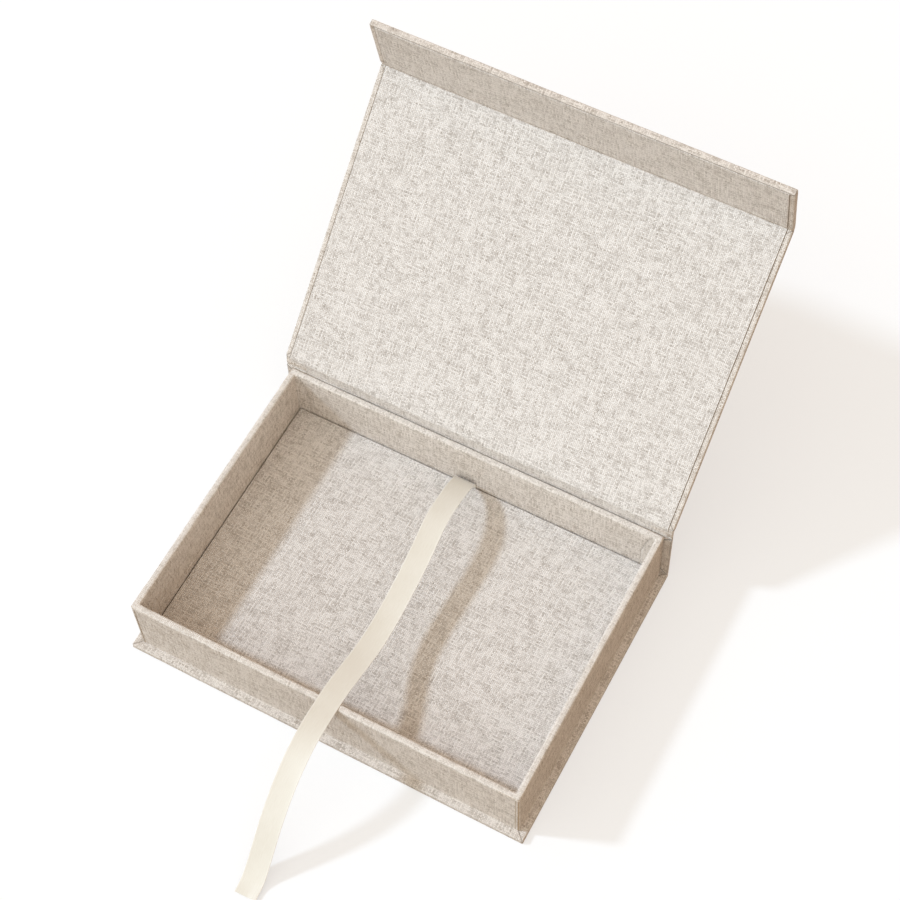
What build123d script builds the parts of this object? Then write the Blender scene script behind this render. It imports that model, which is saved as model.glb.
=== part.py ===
from build123d import *
import os
from math import cos, radians, sin, tan

# A book-style gift box, wrapped in linen cloth and standing open.
# Millimetres, +Z up, +Y to the hinge, -Y to the flap, origin in the middle of the base's underside.
# The tray is centred on the origin. The lid and the flap are drawn where they stand open.

# ---- Materials ----
board = 3.0                 # greyboard of the case and of the tray
spine_card = 1.5            # thinner greyboard in the spine
cloth = 0.3                 # linen book cloth, used outside and as lining
turn_in = 15.0              # cloth folded over a board's edge and glued inside
cloth_edge_radius = 0.5     # how round the cloth lies over a board's edge
bare_cloth_radius = 0.25    # the same, where single cloth runs on past the board
case_corner_radius = 0.8

# ---- Tray ----
tray_width = 220.0
tray_depth = 160.0
tray_height = 40.8          # from the base's top to the rim
tray_corner_radius = 1.2
stay_tape = 0.15            # paper tape round each corner of the tray's boards
stay_leg = 14.0

# ---- Padded floor of the tray ----
floor_gap = 0.5             # dark line between the floor and the walls
pad_thickness = 3.0
floor_card = 1.2

# ---- Case: base, spine, lid and flap ----
side_overhang = 4.0         # base and lid stand out past the tray's ends
lid_clearance = 0.3         # closed lid above the rim
flap_clearance = 0.3        # closed flap before the tray's front wall
fold_clearance = 0.5        # closed flap's board below the lid's lining
flap_length = 41.0          # from the fold line to the flap's free edge
liner_inset = 3.0           # lining's edge inside the panel's edge
free_edge_inset = 1.0       # the same, at the flap's free edge
hinge_slack = 0.5           # cloth left free on each side of a hinge line
lid_board_setback = 1.6     # lid's board from either hinge line
lining_tuck = 1.0           # lining pressed into a hinge's gap

# ---- Magnets in the flap and in the tray's front wall ----
magnet_diameter = 12.0
magnet_thickness = 1.8
magnet_spacing = 140.0
magnet_height = 24.0        # above the base's underside, with the flap closed
magnet_play = 0.1

# ---- Ribbon ----
ribbon_width = 12.0
ribbon_thickness = 0.25
ribbon_anchor = 26.0        # glued under the floor card
anchor_play = 2.0           # beside the ribbon, in the pad's recess
ribbon_exit = -3.4          # across the box, where it leaves the floor
arc_share = 0.45            # of the shorter run, taken up by a bend's arc

# ---- Pose in which the box stands ----
lid_angle = 135.5           # from closed
flap_angle = 57.0           # bent in from straight; 90 is closed

# ---- Worked out ----
panel = board + 2 * cloth
lined_panel = panel + cloth
rim = panel + tray_height
case_half_width = tray_width / 2 + side_overhang
tray_back = tray_depth / 2
case_back = tray_back + spine_card + 2 * cloth
case_front = -(tray_depth / 2 + flap_clearance + lined_panel)
hinge_height = rim + lid_clearance + lined_panel
lid_length = case_back - case_front
case_board_half_width = case_half_width - cloth
lining_half_width = case_half_width - liner_inset
lining_window = case_half_width - turn_in
flap_board_setback = lined_panel + fold_clearance + cloth
wall_board_base = panel + cloth
tray_floor_board_top = wall_board_base + board
floor_underside = tray_floor_board_top + pad_thickness
floor_top = floor_underside + 2 * cloth + floor_card
board_half_width = tray_width / 2 - cloth
board_half_depth = tray_depth / 2 - cloth
cavity_half_width = tray_width / 2 - panel
cavity_half_depth = tray_depth / 2 - panel
floor_half_width = cavity_half_width - floor_gap
floor_half_depth = cavity_half_depth - floor_gap
magnet_half_spacing = magnet_spacing / 2

lid_turn = radians(lid_angle)
flap_turn = radians(lid_angle - flap_angle)
fold_y = case_back - lid_length * cos(lid_turn)
fold_z = hinge_height + lid_length * sin(lid_turn)
# On these two planes the outer face is at height 0 and the inner face at -panel,
# and the panel runs from its hinge line towards -y.
lid_plane = Plane(
    origin=(0, case_back, hinge_height),
    x_dir=(1, 0, 0),
    z_dir=(0, sin(lid_turn), cos(lid_turn)),
)
flap_plane = Plane(
    origin=(0, fold_y, fold_z),
    x_dir=(1, 0, 0),
    z_dir=(0, sin(flap_turn), cos(flap_turn)),
)


def layer(plane, half_width, near, far, low, high, mode=Mode.ADD):
    """Add or cut a flat layer, in the axes of a plane: across, along and up."""
    with BuildSketch(plane.offset(low)) as outline:
        with Locations((0, (near + far) / 2)):
            Rectangle(2 * half_width, abs(far - near))
    extrude(outline.sketch, amount=high - low, mode=mode)


def discs(plane, along, low, high, radius, mode=Mode.ADD):
    """Add or cut the pair of discs that the magnets are."""
    with BuildSketch(plane.offset(low)) as outline:
        with Locations((-magnet_half_spacing, along), (magnet_half_spacing, along)):
            Circle(radius)
    extrude(outline.sketch, amount=high - low, mode=mode)


def save(part, label):
    """Label a finished piece and write it under its own name."""
    part.label = label
    export_step(part, f"parts/{label}.step")


os.makedirs("parts", exist_ok=True)

# ---- Base ----
base_near = case_front + cloth
base_far = case_back - cloth

with BuildPart() as base_board:
    layer(Plane.XY, case_board_half_width, base_near, base_far, cloth, cloth + board)
save(base_board.part, "base_board")

with BuildPart() as base_cover:
    layer(Plane.XY, case_half_width, case_front, case_back, 0, panel)
    fillet(base_cover.edges().filter_by(Axis.Z), case_corner_radius)
    fillet(base_cover.faces().sort_by(Axis.Z)[0].edges(), cloth_edge_radius)
    top_edges = base_cover.faces().sort_by(Axis.Z)[-1].edges()
    fillet(top_edges.sort_by(Axis.Y)[:-1], cloth_edge_radius)
    layer(Plane.XY, case_board_half_width, base_near, base_far, cloth, cloth + board, Mode.SUBTRACT)
    layer(Plane.XY, case_half_width - turn_in, case_front + turn_in, base_far,
          cloth + board, panel, Mode.SUBTRACT)
save(base_cover.part, "base_cover")

# ---- Spine, glued to the tray's rear wall ----
with BuildPart() as spine_board:
    layer(Plane.XY, case_board_half_width, tray_back + cloth, case_back - cloth, panel + cloth, rim - cloth)
save(spine_board.part, "spine_board")

with BuildPart() as spine_cover:
    layer(Plane.XY, case_half_width, tray_back, case_back, panel, rim)
    fillet(spine_cover.edges().filter_by(Axis.Z).sort_by(Axis.Y)[-2:], cloth_edge_radius)
    layer(Plane.XY, case_board_half_width, tray_back + cloth, case_back - cloth,
          panel + cloth, rim - cloth, Mode.SUBTRACT)
    layer(Plane.XY, lining_window, tray_back, tray_back + cloth, panel, rim, Mode.SUBTRACT)
    layer(Plane.XY, case_board_half_width, case_back - cloth, case_back, rim, hinge_height - hinge_slack)
save(spine_cover.part, "spine_cover")

with BuildPart() as spine_liner:
    layer(Plane.XY, lining_window, tray_back, tray_back + cloth, panel, rim)
save(spine_liner.part, "spine_liner")

# ---- Tray: four wall boards round a bottom board, taped at the corners ----
wall_inner_half_width = board_half_width - board
wall_inner_half_depth = board_half_depth - board
wall_board_top = rim - cloth
board_corner_radius = tray_corner_radius - cloth
stay_corner_radius = board_corner_radius + stay_tape
magnet_pocket_radius = magnet_diameter / 2 + magnet_play
magnet_pocket_depth = magnet_thickness + magnet_play

with BuildPart() as tray_bottom_board:
    layer(Plane.XY, wall_inner_half_width, -wall_inner_half_depth, wall_inner_half_depth,
          wall_board_base, tray_floor_board_top)
save(tray_bottom_board.part, "tray_bottom_board")

# The front wall's plane looks to the front, with its height along y.
front_plane = Plane(origin=(0, -board_half_depth, 0), x_dir=(1, 0, 0), z_dir=(0, -1, 0))

for side, name in ((-1, "tray_front_board"), (1, "tray_rear_board")):
    with BuildPart() as long_wall:
        layer(Plane.XY, board_half_width, side * wall_inner_half_depth, side * board_half_depth,
              wall_board_base, wall_board_top)
        outer_corners = long_wall.edges().filter_by(Axis.Z).group_by(Axis.Y)[0 if side < 0 else -1]
        fillet(outer_corners, board_corner_radius)
        if side < 0:
            discs(front_plane, magnet_height, -magnet_pocket_depth, 0, magnet_pocket_radius, Mode.SUBTRACT)
    save(long_wall.part, name)

for side, name in ((-1, "tray_left_board"), (1, "tray_right_board")):
    wall_middle = side * (board_half_width - board / 2)
    with BuildPart() as short_wall:
        with BuildSketch(Plane.XY.offset(wall_board_base)):
            with Locations((wall_middle, 0)):
                Rectangle(board, 2 * wall_inner_half_depth)
        extrude(amount=wall_board_top - wall_board_base)
    save(short_wall.part, name)

with BuildPart() as tray_magnets:
    discs(front_plane, magnet_height, -magnet_thickness, 0, magnet_diameter / 2)
save(tray_magnets.part, "tray_magnets")


def corner_tapes(mode=Mode.ADD):
    """Paper tapes bent round the tray's four corners, outside its boards."""
    with BuildSketch(Plane.XY.offset(wall_board_base)) as tapes:
        RectangleRounded(2 * (board_half_width + stay_tape), 2 * (board_half_depth + stay_tape),
                         stay_corner_radius)
        RectangleRounded(2 * board_half_width, 2 * board_half_depth, board_corner_radius, mode=Mode.SUBTRACT)
        Rectangle(2 * (board_half_width - stay_leg), tray_depth, mode=Mode.SUBTRACT)
        Rectangle(tray_width, 2 * (board_half_depth - stay_leg), mode=Mode.SUBTRACT)
    extrude(tapes.sketch, amount=wall_board_top - wall_board_base, mode=mode)


with BuildPart() as corner_stays:
    corner_tapes()
save(corner_stays.part, "corner_stays")

with BuildPart() as tray_wrap:
    with BuildSketch(Plane.XY.offset(panel)):
        RectangleRounded(tray_width, tray_depth, tray_corner_radius)
    extrude(amount=tray_height)
    layer(Plane.XY, cavity_half_width, -cavity_half_depth, cavity_half_depth,
          tray_floor_board_top, rim, Mode.SUBTRACT)
    fillet(tray_wrap.faces().sort_by(Axis.Z)[-1].edges(), cloth_edge_radius)
    with BuildSketch(Plane.XY.offset(wall_board_base)):
        RectangleRounded(2 * board_half_width, 2 * board_half_depth, board_corner_radius)
        Rectangle(2 * wall_inner_half_width, 2 * wall_inner_half_depth, mode=Mode.SUBTRACT)
    extrude(amount=wall_board_top - wall_board_base, mode=Mode.SUBTRACT)
    layer(Plane.XY, wall_inner_half_width, -wall_inner_half_depth, wall_inner_half_depth,
          wall_board_base, tray_floor_board_top, Mode.SUBTRACT)
    layer(Plane.XY, tray_width / 2 - turn_in, -tray_depth / 2 + turn_in, tray_depth / 2 - turn_in,
          panel, wall_board_base, Mode.SUBTRACT)
    corner_tapes(Mode.SUBTRACT)
save(tray_wrap.part, "tray_wrap")

# ---- Padded floor: a foam pad, and on it a card wrapped in cloth ----
anchor_half_width = ribbon_width / 2 + anchor_play
anchor_near = cavity_half_depth - floor_gap - ribbon_anchor

with BuildPart() as floor_pad:
    layer(Plane.XY, floor_half_width, -floor_half_depth, floor_half_depth,
          tray_floor_board_top, floor_underside)
    with BuildSketch(Plane.XY.offset(floor_underside - cloth)):
        with Locations((ribbon_exit, (anchor_near + floor_half_depth) / 2)):
            Rectangle(2 * anchor_half_width, floor_half_depth - anchor_near)
    extrude(amount=cloth, mode=Mode.SUBTRACT)
save(floor_pad.part, "floor_pad")

card_half_width = floor_half_width - cloth
card_half_depth = floor_half_depth - cloth

with BuildPart() as floor_liner_card:
    layer(Plane.XY, card_half_width, -card_half_depth, card_half_depth,
          floor_underside + cloth, floor_underside + cloth + floor_card)
save(floor_liner_card.part, "floor_liner_card")

with BuildPart() as floor_liner_cloth:
    layer(Plane.XY, floor_half_width, -floor_half_depth, floor_half_depth, floor_underside, floor_top)
    fillet(floor_liner_cloth.faces().sort_by(Axis.Z)[-1].edges(), cloth_edge_radius)
    layer(Plane.XY, card_half_width, -card_half_depth, card_half_depth,
          floor_underside + cloth, floor_underside + cloth + floor_card, Mode.SUBTRACT)
    layer(Plane.XY, floor_half_width - turn_in, -floor_half_depth + turn_in, floor_half_depth - turn_in,
          floor_underside, floor_underside + cloth, Mode.SUBTRACT)
save(floor_liner_cloth.part, "floor_liner_cloth")

# ---- Lid ----
lid_board_near = -lid_board_setback
lid_board_far = -(lid_length - lid_board_setback)
lid_slab_near = lid_board_near + cloth
lid_slab_far = lid_board_far - cloth

with BuildPart() as lid_board:
    layer(lid_plane, case_board_half_width, lid_board_near, lid_board_far, -cloth - board, -cloth)
save(lid_board.part, "lid_board")

with BuildPart() as lid_cover:
    layer(lid_plane, case_half_width, lid_slab_near, lid_slab_far, -panel, 0)
    layer(lid_plane, case_half_width, -hinge_slack, hinge_slack - lid_length, -cloth, 0)
    end_edges = lid_cover.faces().filter_by(Axis.X).edges()
    fillet(end_edges.filter_by(lambda edge: edge.length > lid_length / 2), bare_cloth_radius)
    layer(lid_plane, case_board_half_width, lid_board_near, lid_board_far, -cloth - board, -cloth,
          Mode.SUBTRACT)
    layer(lid_plane, lining_window, lid_slab_near, lid_slab_far, -panel, -cloth - board, Mode.SUBTRACT)
save(lid_cover.part, "lid_cover")

with BuildPart() as lid_liner:
    layer(lid_plane, lining_half_width, lid_slab_near, lid_slab_far, -lined_panel, -panel)
    layer(lid_plane, lining_window, lid_slab_near, lid_slab_far, -panel, -cloth - board)
save(lid_liner.part, "lid_liner")

# ---- Flap ----
flap_board_near = -flap_board_setback
flap_board_far = -(flap_length - cloth)
flap_slab_near = flap_board_near + cloth
flap_magnet_along = -(hinge_height - magnet_height)

with BuildPart() as flap_board:
    layer(flap_plane, case_board_half_width, flap_board_near, flap_board_far, -cloth - board, -cloth)
    discs(flap_plane, flap_magnet_along, -cloth - board, -cloth - board + magnet_pocket_depth,
          magnet_pocket_radius, Mode.SUBTRACT)
save(flap_board.part, "flap_board")

with BuildPart() as flap_magnets:
    discs(flap_plane, flap_magnet_along, -cloth - board, -cloth - board + magnet_thickness,
          magnet_diameter / 2)
save(flap_magnets.part, "flap_magnets")

with BuildPart() as flap_cover:
    layer(flap_plane, case_half_width, flap_slab_near, -flap_length, -panel, 0)
    layer(flap_plane, case_half_width, -hinge_slack, flap_slab_near, -cloth, 0)
    free_end = flap_cover.faces().sort_by(Axis(flap_plane.origin, flap_plane.y_dir))[0]
    fillet(free_end.edges().filter_by(Axis.X), cloth_edge_radius)
    layer(flap_plane, case_board_half_width, flap_board_near, flap_board_far, -cloth - board, -cloth,
          Mode.SUBTRACT)
    layer(flap_plane, lining_window, flap_slab_near, -flap_length + turn_in, -panel, -cloth - board,
          Mode.SUBTRACT)
save(flap_cover.part, "flap_cover")

with BuildPart() as flap_liner:
    layer(flap_plane, lining_half_width, flap_slab_near, -flap_length + free_edge_inset,
          -lined_panel, -panel)
    layer(flap_plane, lining_window, flap_slab_near, -flap_length + turn_in, -panel, -cloth - board)
save(flap_liner.part, "flap_liner")

# ---- Soft strips that bend: the lining over both hinges, and the ribbon ----


def rounded_route(*points, fold_radius=None):
    """A line through rounded corners, each arc as large as its runs allow, after a tight first fold."""
    corners = [Vector(*point) for point in points]
    radii = []
    for before, corner, after in zip(corners, corners[1:], corners[2:]):
        half_turn = radians((corner - before).get_angle(after - corner)) / 2
        shorter_run = min((corner - before).length, (after - corner).length)
        radii.append(arc_share * shorter_run / tan(half_turn))
    if fold_radius is not None:
        radii[0] = fold_radius
    return FilletPolyline(*points, radius=radii)


def on_section(plane, along, up):
    """Y and Z of a place on a panel, given along the panel and up from its outer face."""
    place = plane.from_local_coords((0, along, up))
    return (place.Y, place.Z)


def side_view(route, thickness, left, right, fold_radius=None):
    """Add a thin strip that follows a side-view route of (y, z) corners, and give its length."""
    with BuildSketch(Plane.YZ.offset(left)) as outline:
        with BuildLine() as middle:
            rounded_route(*route, fold_radius=fold_radius)
        trace(middle.line, line_width=thickness)
    extrude(outline.sketch, amount=right - left)
    return sum(edge.length for edge in middle.edges())


lining_depth = -panel - cloth / 2

hinge_lining_route = [
    (tray_back + cloth, rim + cloth),
    (tray_back + cloth, rim + 2 * lining_tuck),
    on_section(lid_plane, lid_slab_near + lining_tuck, lining_depth),
    on_section(lid_plane, lid_slab_near + cloth, lining_depth),
]
with BuildPart() as hinge_lining:
    side_view(hinge_lining_route, cloth, -lining_half_width, lining_half_width)
save(hinge_lining.part, "hinge_lining")

fold_lining_route = [
    on_section(lid_plane, lid_slab_far - cloth, lining_depth),
    on_section(flap_plane, flap_slab_near + lining_tuck, lining_tuck - panel),
    on_section(flap_plane, flap_slab_near + cloth, lining_depth),
]
with BuildPart() as fold_lining:
    side_view(fold_lining_route, cloth, -lining_half_width, lining_half_width)
save(fold_lining.part, "fold_lining")

# The ribbon is glued under the floor card, comes up between the floor and the rear wall, springs over
# the floor, rests on the front rim and runs out in front of the box to the table.
ribbon_bed = floor_underside - cloth + ribbon_thickness / 2
exit_y = cavity_half_depth - floor_gap / 2
front_y = -tray_depth / 2
ribbon_side_route = [
    (exit_y - ribbon_anchor, ribbon_bed),
    (exit_y, ribbon_bed),
    (exit_y, floor_top + 5.8),
    (exit_y - 6, floor_top + 15.3),
    (exit_y - 20, floor_top + 23.8),
    (exit_y - 40, floor_top + 26.5),
    (exit_y - 64, floor_top + 23.3),
    (exit_y - 90, floor_top + 20.5),
    (front_y + 42, rim - 11.0),
    (front_y + 20, rim - 3.9),
    (front_y, rim + 1.3),
    (front_y - 18, rim + 4.1),
    (front_y - 38, rim + 0.2),
    (front_y - 56, rim - 13.4),
    (front_y - 69, 13.0),
    (front_y - 78, 3.0),
    (front_y - 91, 0.5),
]
ribbon_plan_route = [
    (ribbon_exit, exit_y + 1.0),
    (ribbon_exit, exit_y - 8),
    (ribbon_exit + 3.4, exit_y - 38),
    (ribbon_exit + 6.4, exit_y - 71),
    (ribbon_exit + 7.6, front_y + 50),
    (ribbon_exit + 7.7, front_y),
    (ribbon_exit + 8.9, front_y - 50),
    (ribbon_exit + 10.6, front_y - 92),
]
plan_margin = 2 * ribbon_width

with BuildPart() as ribbon:
    ribbon_length = side_view(ribbon_side_route, ribbon_thickness, ribbon_exit - plan_margin,
                              ribbon_exit + plan_margin, fold_radius=ribbon_thickness)
    with BuildSketch(Plane.XY) as plan_view:
        with BuildLine() as ribbon_middle:
            rounded_route(*ribbon_plan_route)
        trace(ribbon_middle.line, line_width=ribbon_width)
    extrude(plan_view.sketch, amount=2 * rim, mode=Mode.INTERSECT)
save(ribbon.part, "ribbon")
print(f"ribbon {ribbon_length:.1f} mm long, {ribbon.part.volume:.0f} mm3, "
      f"against {ribbon_length * ribbon_width * ribbon_thickness:.0f} mm3 for its length")
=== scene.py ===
"""A book-style gift box in linen cloth, standing open, with a satin ribbon over its front rim."""

import logging
import math
from dataclasses import dataclass, field
from enum import Enum
from functools import cache

import bpy
import numpy as np
from mathutils import Matrix, Vector


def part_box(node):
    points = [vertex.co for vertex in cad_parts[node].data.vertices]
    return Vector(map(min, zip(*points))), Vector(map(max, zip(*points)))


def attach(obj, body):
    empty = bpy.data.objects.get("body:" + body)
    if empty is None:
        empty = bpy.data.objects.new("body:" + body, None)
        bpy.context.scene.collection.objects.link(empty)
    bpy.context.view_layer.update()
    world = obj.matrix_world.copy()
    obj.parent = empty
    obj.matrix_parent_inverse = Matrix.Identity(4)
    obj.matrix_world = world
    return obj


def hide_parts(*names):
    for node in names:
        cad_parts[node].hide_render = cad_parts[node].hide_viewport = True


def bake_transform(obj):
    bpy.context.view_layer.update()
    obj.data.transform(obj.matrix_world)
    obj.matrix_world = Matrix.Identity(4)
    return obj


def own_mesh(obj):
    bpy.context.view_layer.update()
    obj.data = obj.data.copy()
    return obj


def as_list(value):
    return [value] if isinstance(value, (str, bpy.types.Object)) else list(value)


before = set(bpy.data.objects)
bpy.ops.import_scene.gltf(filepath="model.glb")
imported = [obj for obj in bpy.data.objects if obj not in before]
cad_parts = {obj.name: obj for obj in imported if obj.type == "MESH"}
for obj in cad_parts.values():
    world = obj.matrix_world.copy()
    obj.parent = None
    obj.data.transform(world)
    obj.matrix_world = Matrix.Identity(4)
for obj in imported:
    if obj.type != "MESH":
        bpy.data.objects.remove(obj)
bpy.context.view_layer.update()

CLOTH_MAP = "Cloth"
WEAR = "edge_wear"
# Mesh attribute for painted shade: how much the cloth is darkened in seams, gaps and creases.
SEAM_SHADE = "painted_seam_shade"
MM = 0.001
IMAGE_SIDE = 900
SENSOR_WIDTH = 36.0
SHARP_OVER = 55.0  # degrees between two faces that keep a sharp edge
TURN_IN = 15.0  # how far the case's cloth is turned in
PACKED_WIDER = 0.5  # how far packed cloth stands out at its sides
EDGE_SHARES = (0.0, 0.12, 0.3, 0.6, 1.0)  # grid lines over a rounded edge
SLAB_STEP = 5.5  # largest grid step on a block
STRIP_STEP = 5.0  # largest grid step on a strip
BEND_STEP = 0.3  # grid step on a strip near its bends
CUT_EDGE = 0.3  # how far in a cut edge of cloth is rounded

log = logging.getLogger("gift_box")

Colour = tuple[float, float, float]
Spot = tuple[float, float, float]  # x, y and z
Place = tuple[float, float]  # y and z in the side view, or two numbers that belong together


class Body(Enum):
    """The bodies that the pieces ride on."""

    ROOT = "root"
    LID = "lid"
    FLAP = "flap"


class Slot(Enum):
    """The material slots."""

    OUTER_LINEN = "outer_linen"
    LINING_LINEN = "lining_linen"
    GREYBOARD = "greyboard"
    PAPER_TAPE = "paper_tape"
    PAD_FOAM = "pad_foam"
    SATIN = "satin_ribbon"
    MAGNET = "magnet"


# ---------------------------------------------------------------- sizes, in millimetres


@dataclass(frozen=True)
class BoxSizes:
    """The box's driving sizes, as its solids have them."""

    board: float = 3.0
    spine_card: float = 1.5
    cloth: float = 0.3
    tray_width: float = 220.0
    tray_depth: float = 160.0
    tray_height: float = 40.8
    side_overhang: float = 4.0
    lid_clearance: float = 0.3
    flap_clearance: float = 0.3
    fold_clearance: float = 0.5
    lid_board_setback: float = 1.6
    flap_length: float = 41.0
    liner_inset: float = 3.0
    floor_gap: float = 0.5
    pad_thickness: float = 3.0
    floor_card: float = 1.2
    lid_angle: float = 135.5
    flap_angle: float = 57.0


@dataclass(frozen=True)
class PanelFrame:
    """Where a panel lies: its outer face starts at origin and runs along a direction, both in (y, z)."""

    origin: Place
    along: Place

    def place(self, local: np.ndarray) -> np.ndarray:
        """Turn places on the panel into places in the box.

        Args:
            local: Across, along and into the panel from its outer face, one row a place.

        Returns:
            The same places as x, y and z.
        """
        step_y, step_z = self.along
        placed = np.array(local, float)
        placed[:, 1] = self.origin[0] + local[:, 1] * step_y - local[:, 2] * step_z
        placed[:, 2] = self.origin[1] + local[:, 1] * step_z + local[:, 2] * step_y
        return placed

    def point(self, along: float, depth: float = 0.0) -> Place:
        """The (y, z) of a place on the panel, given along it and into it."""
        spot = self.place(np.array([[0.0, along, depth]]))[0]
        return float(spot[1]), float(spot[2])


SIZES = BoxSizes()
PANEL = SIZES.board + 2 * SIZES.cloth  # a board wrapped in cloth
LINED_PANEL = PANEL + SIZES.cloth
RIM = PANEL + SIZES.tray_height
HALF_WIDTH = SIZES.tray_width / 2 + SIZES.side_overhang  # of base, spine, lid and flap
CASE_BACK = SIZES.tray_depth / 2 + SIZES.spine_card + 2 * SIZES.cloth
CASE_FRONT = -(SIZES.tray_depth / 2 + SIZES.flap_clearance + LINED_PANEL)
LID_LENGTH = CASE_BACK - CASE_FRONT
HINGE = (CASE_BACK, RIM + SIZES.lid_clearance + LINED_PANEL)  # the hinge line's (y, z)
SLAB_SETBACK = SIZES.lid_board_setback - SIZES.cloth  # from a hinge line to the wrapped lid board
FLAP_SETBACK = LINED_PANEL + SIZES.fold_clearance  # from the fold line to the wrapped flap board
LINING_HALF = HALF_WIDTH - SIZES.liner_inset
LID_TURN = math.radians(180.0 - SIZES.lid_angle)
FLAP_TURN = math.radians(180.0 - SIZES.lid_angle + SIZES.flap_angle)
BASE_FRAME = PanelFrame((CASE_FRONT, 0.0), (1.0, 0.0))
SPINE_FRAME = PanelFrame((CASE_BACK, 0.0), (0.0, 1.0))
LID_FRAME = PanelFrame(HINGE, (math.cos(LID_TURN), math.sin(LID_TURN)))
FLAP_FRAME = PanelFrame(LID_FRAME.point(LID_LENGTH), (math.cos(FLAP_TURN), math.sin(FLAP_TURN)))


# ---------------------------------------------------------------- shaping


@dataclass
class Shell:
    """One closed skin while it is shaped, in millimetres.

    Attributes:
        points: Places, one row each.
        quads: Four point numbers a face.
        cloth: Each face corner's place on the flat cloth.
        wear: How much each point is rubbed, from 0 to 1.
        seam: How much painted shade darkens each point in a seam or a gap, from 0 to 1.
    """

    points: np.ndarray
    quads: np.ndarray
    cloth: np.ndarray
    wear: np.ndarray
    seam: np.ndarray | None = None

    def make(self, name: str) -> bpy.types.Object:
        """Make the Blender object, smooth, with its cloth map, its wear and its painted seam shade."""
        mesh = bpy.data.meshes.new(name)
        mesh.from_pydata((self.points * MM).tolist(), [], self.quads.tolist())
        cloth_map = mesh.uv_layers.new(name=CLOTH_MAP)
        cloth_map.data.foreach_set("uv", (self.cloth * MM).astype(np.float32).ravel())
        seam = np.zeros(len(self.points)) if self.seam is None else self.seam
        for label, values in ((WEAR, self.wear), (SEAM_SHADE, seam)):
            layer = mesh.attributes.new(label, "FLOAT", "POINT")
            layer.data.foreach_set("value", np.clip(values, 0, 1).astype(np.float32))
        mesh.polygons.foreach_set("use_smooth", [True] * len(mesh.polygons))
        mesh.update()
        mesh.set_sharp_from_angle(angle=math.radians(SHARP_OVER))
        made = bpy.data.objects.new(name, mesh)
        bpy.context.scene.collection.objects.link(made)
        return made


def bell(distance: np.ndarray, width: float) -> np.ndarray:
    """A smooth ridge, 1 at distance 0 and near 0 beyond twice its width."""
    return np.exp(-((distance / width) ** 2))


def ramp(value: np.ndarray, low: float, high: float) -> np.ndarray:
    """A smooth step from 0 at low to 1 at high."""
    share = np.clip((value - low) / (high - low), 0, 1)
    return share * share * (3 - 2 * share)


def cut_edge(distance: np.ndarray) -> np.ndarray:
    """The share of its thickness that cloth has at a distance from its cut edge."""
    return 0.45 + 0.55 * np.sqrt(1 - (1 - np.clip(distance / CUT_EDGE, 0, 1)) ** 2)


def lengths_along(line: np.ndarray) -> np.ndarray:
    """The length along a line at each of its points."""
    return np.concatenate([[0.0], np.cumsum(np.linalg.norm(np.diff(line, axis=0), axis=1))])


def directions(line: np.ndarray) -> np.ndarray:
    """The way a line goes at each of its points."""
    ahead = np.gradient(line, axis=0)
    return ahead / np.linalg.norm(ahead, axis=1)[:, None]


def in_metres(place: Place) -> Spot:
    """A side-view place as x, y and z in metres, at the box's middle."""
    return 0.0, place[0] * MM, place[1] * MM


def soft_waves(across: np.ndarray, along: np.ndarray, seed: int, reach: float) -> np.ndarray:
    """Gentle unevenness of glued cloth.

    Args:
        across: First coordinate of each place.
        along: Second coordinate of each place.
        seed: Which pattern.
        reach: About how far it is from crest to crest.

    Returns:
        Values between -1 and 1.
    """
    draw = np.random.default_rng(seed)
    total = np.zeros(np.broadcast(across, along).shape)
    count = 7
    for _ in range(count):
        heading, phase = draw.uniform(0, 2 * math.pi, 2)
        length = reach * draw.uniform(0.6, 1.7)
        ahead = across * math.cos(heading) + along * math.sin(heading)
        total += np.sin(2 * math.pi * ahead / length + phase)
    return total / count


def graded_lines(low: float, high: float, radius: float, fine: float, zone: float,
                 coarse: float) -> np.ndarray:
    """Grid lines between two ends: closest over the rounded edges, fine beside them, coarse between.

    Args:
        low: First end.
        high: Second end.
        radius: How far the rounded edge reaches in.
        fine: Step beside the edge.
        zone: How far the fine steps go.
        coarse: Largest step.

    Returns:
        The lines' places in order.
    """
    half = (high - low) / 2
    near = [share * radius for share in EDGE_SHARES]
    step = fine
    while near[-1] + step < min(zone, half - fine / 2):
        near.append(near[-1] + step)
    while near[-1] + 1.3 * step < half - coarse / 2:
        step = min(1.3 * step, coarse)
        near.append(near[-1] + step)
    start, stop = low + near[-1], high - near[-1]
    between = np.linspace(start, stop, max(2, math.ceil((stop - start) / coarse) + 1))[1:-1]
    return np.concatenate([low + np.array(near), between, high - np.array(near[::-1])])


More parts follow.
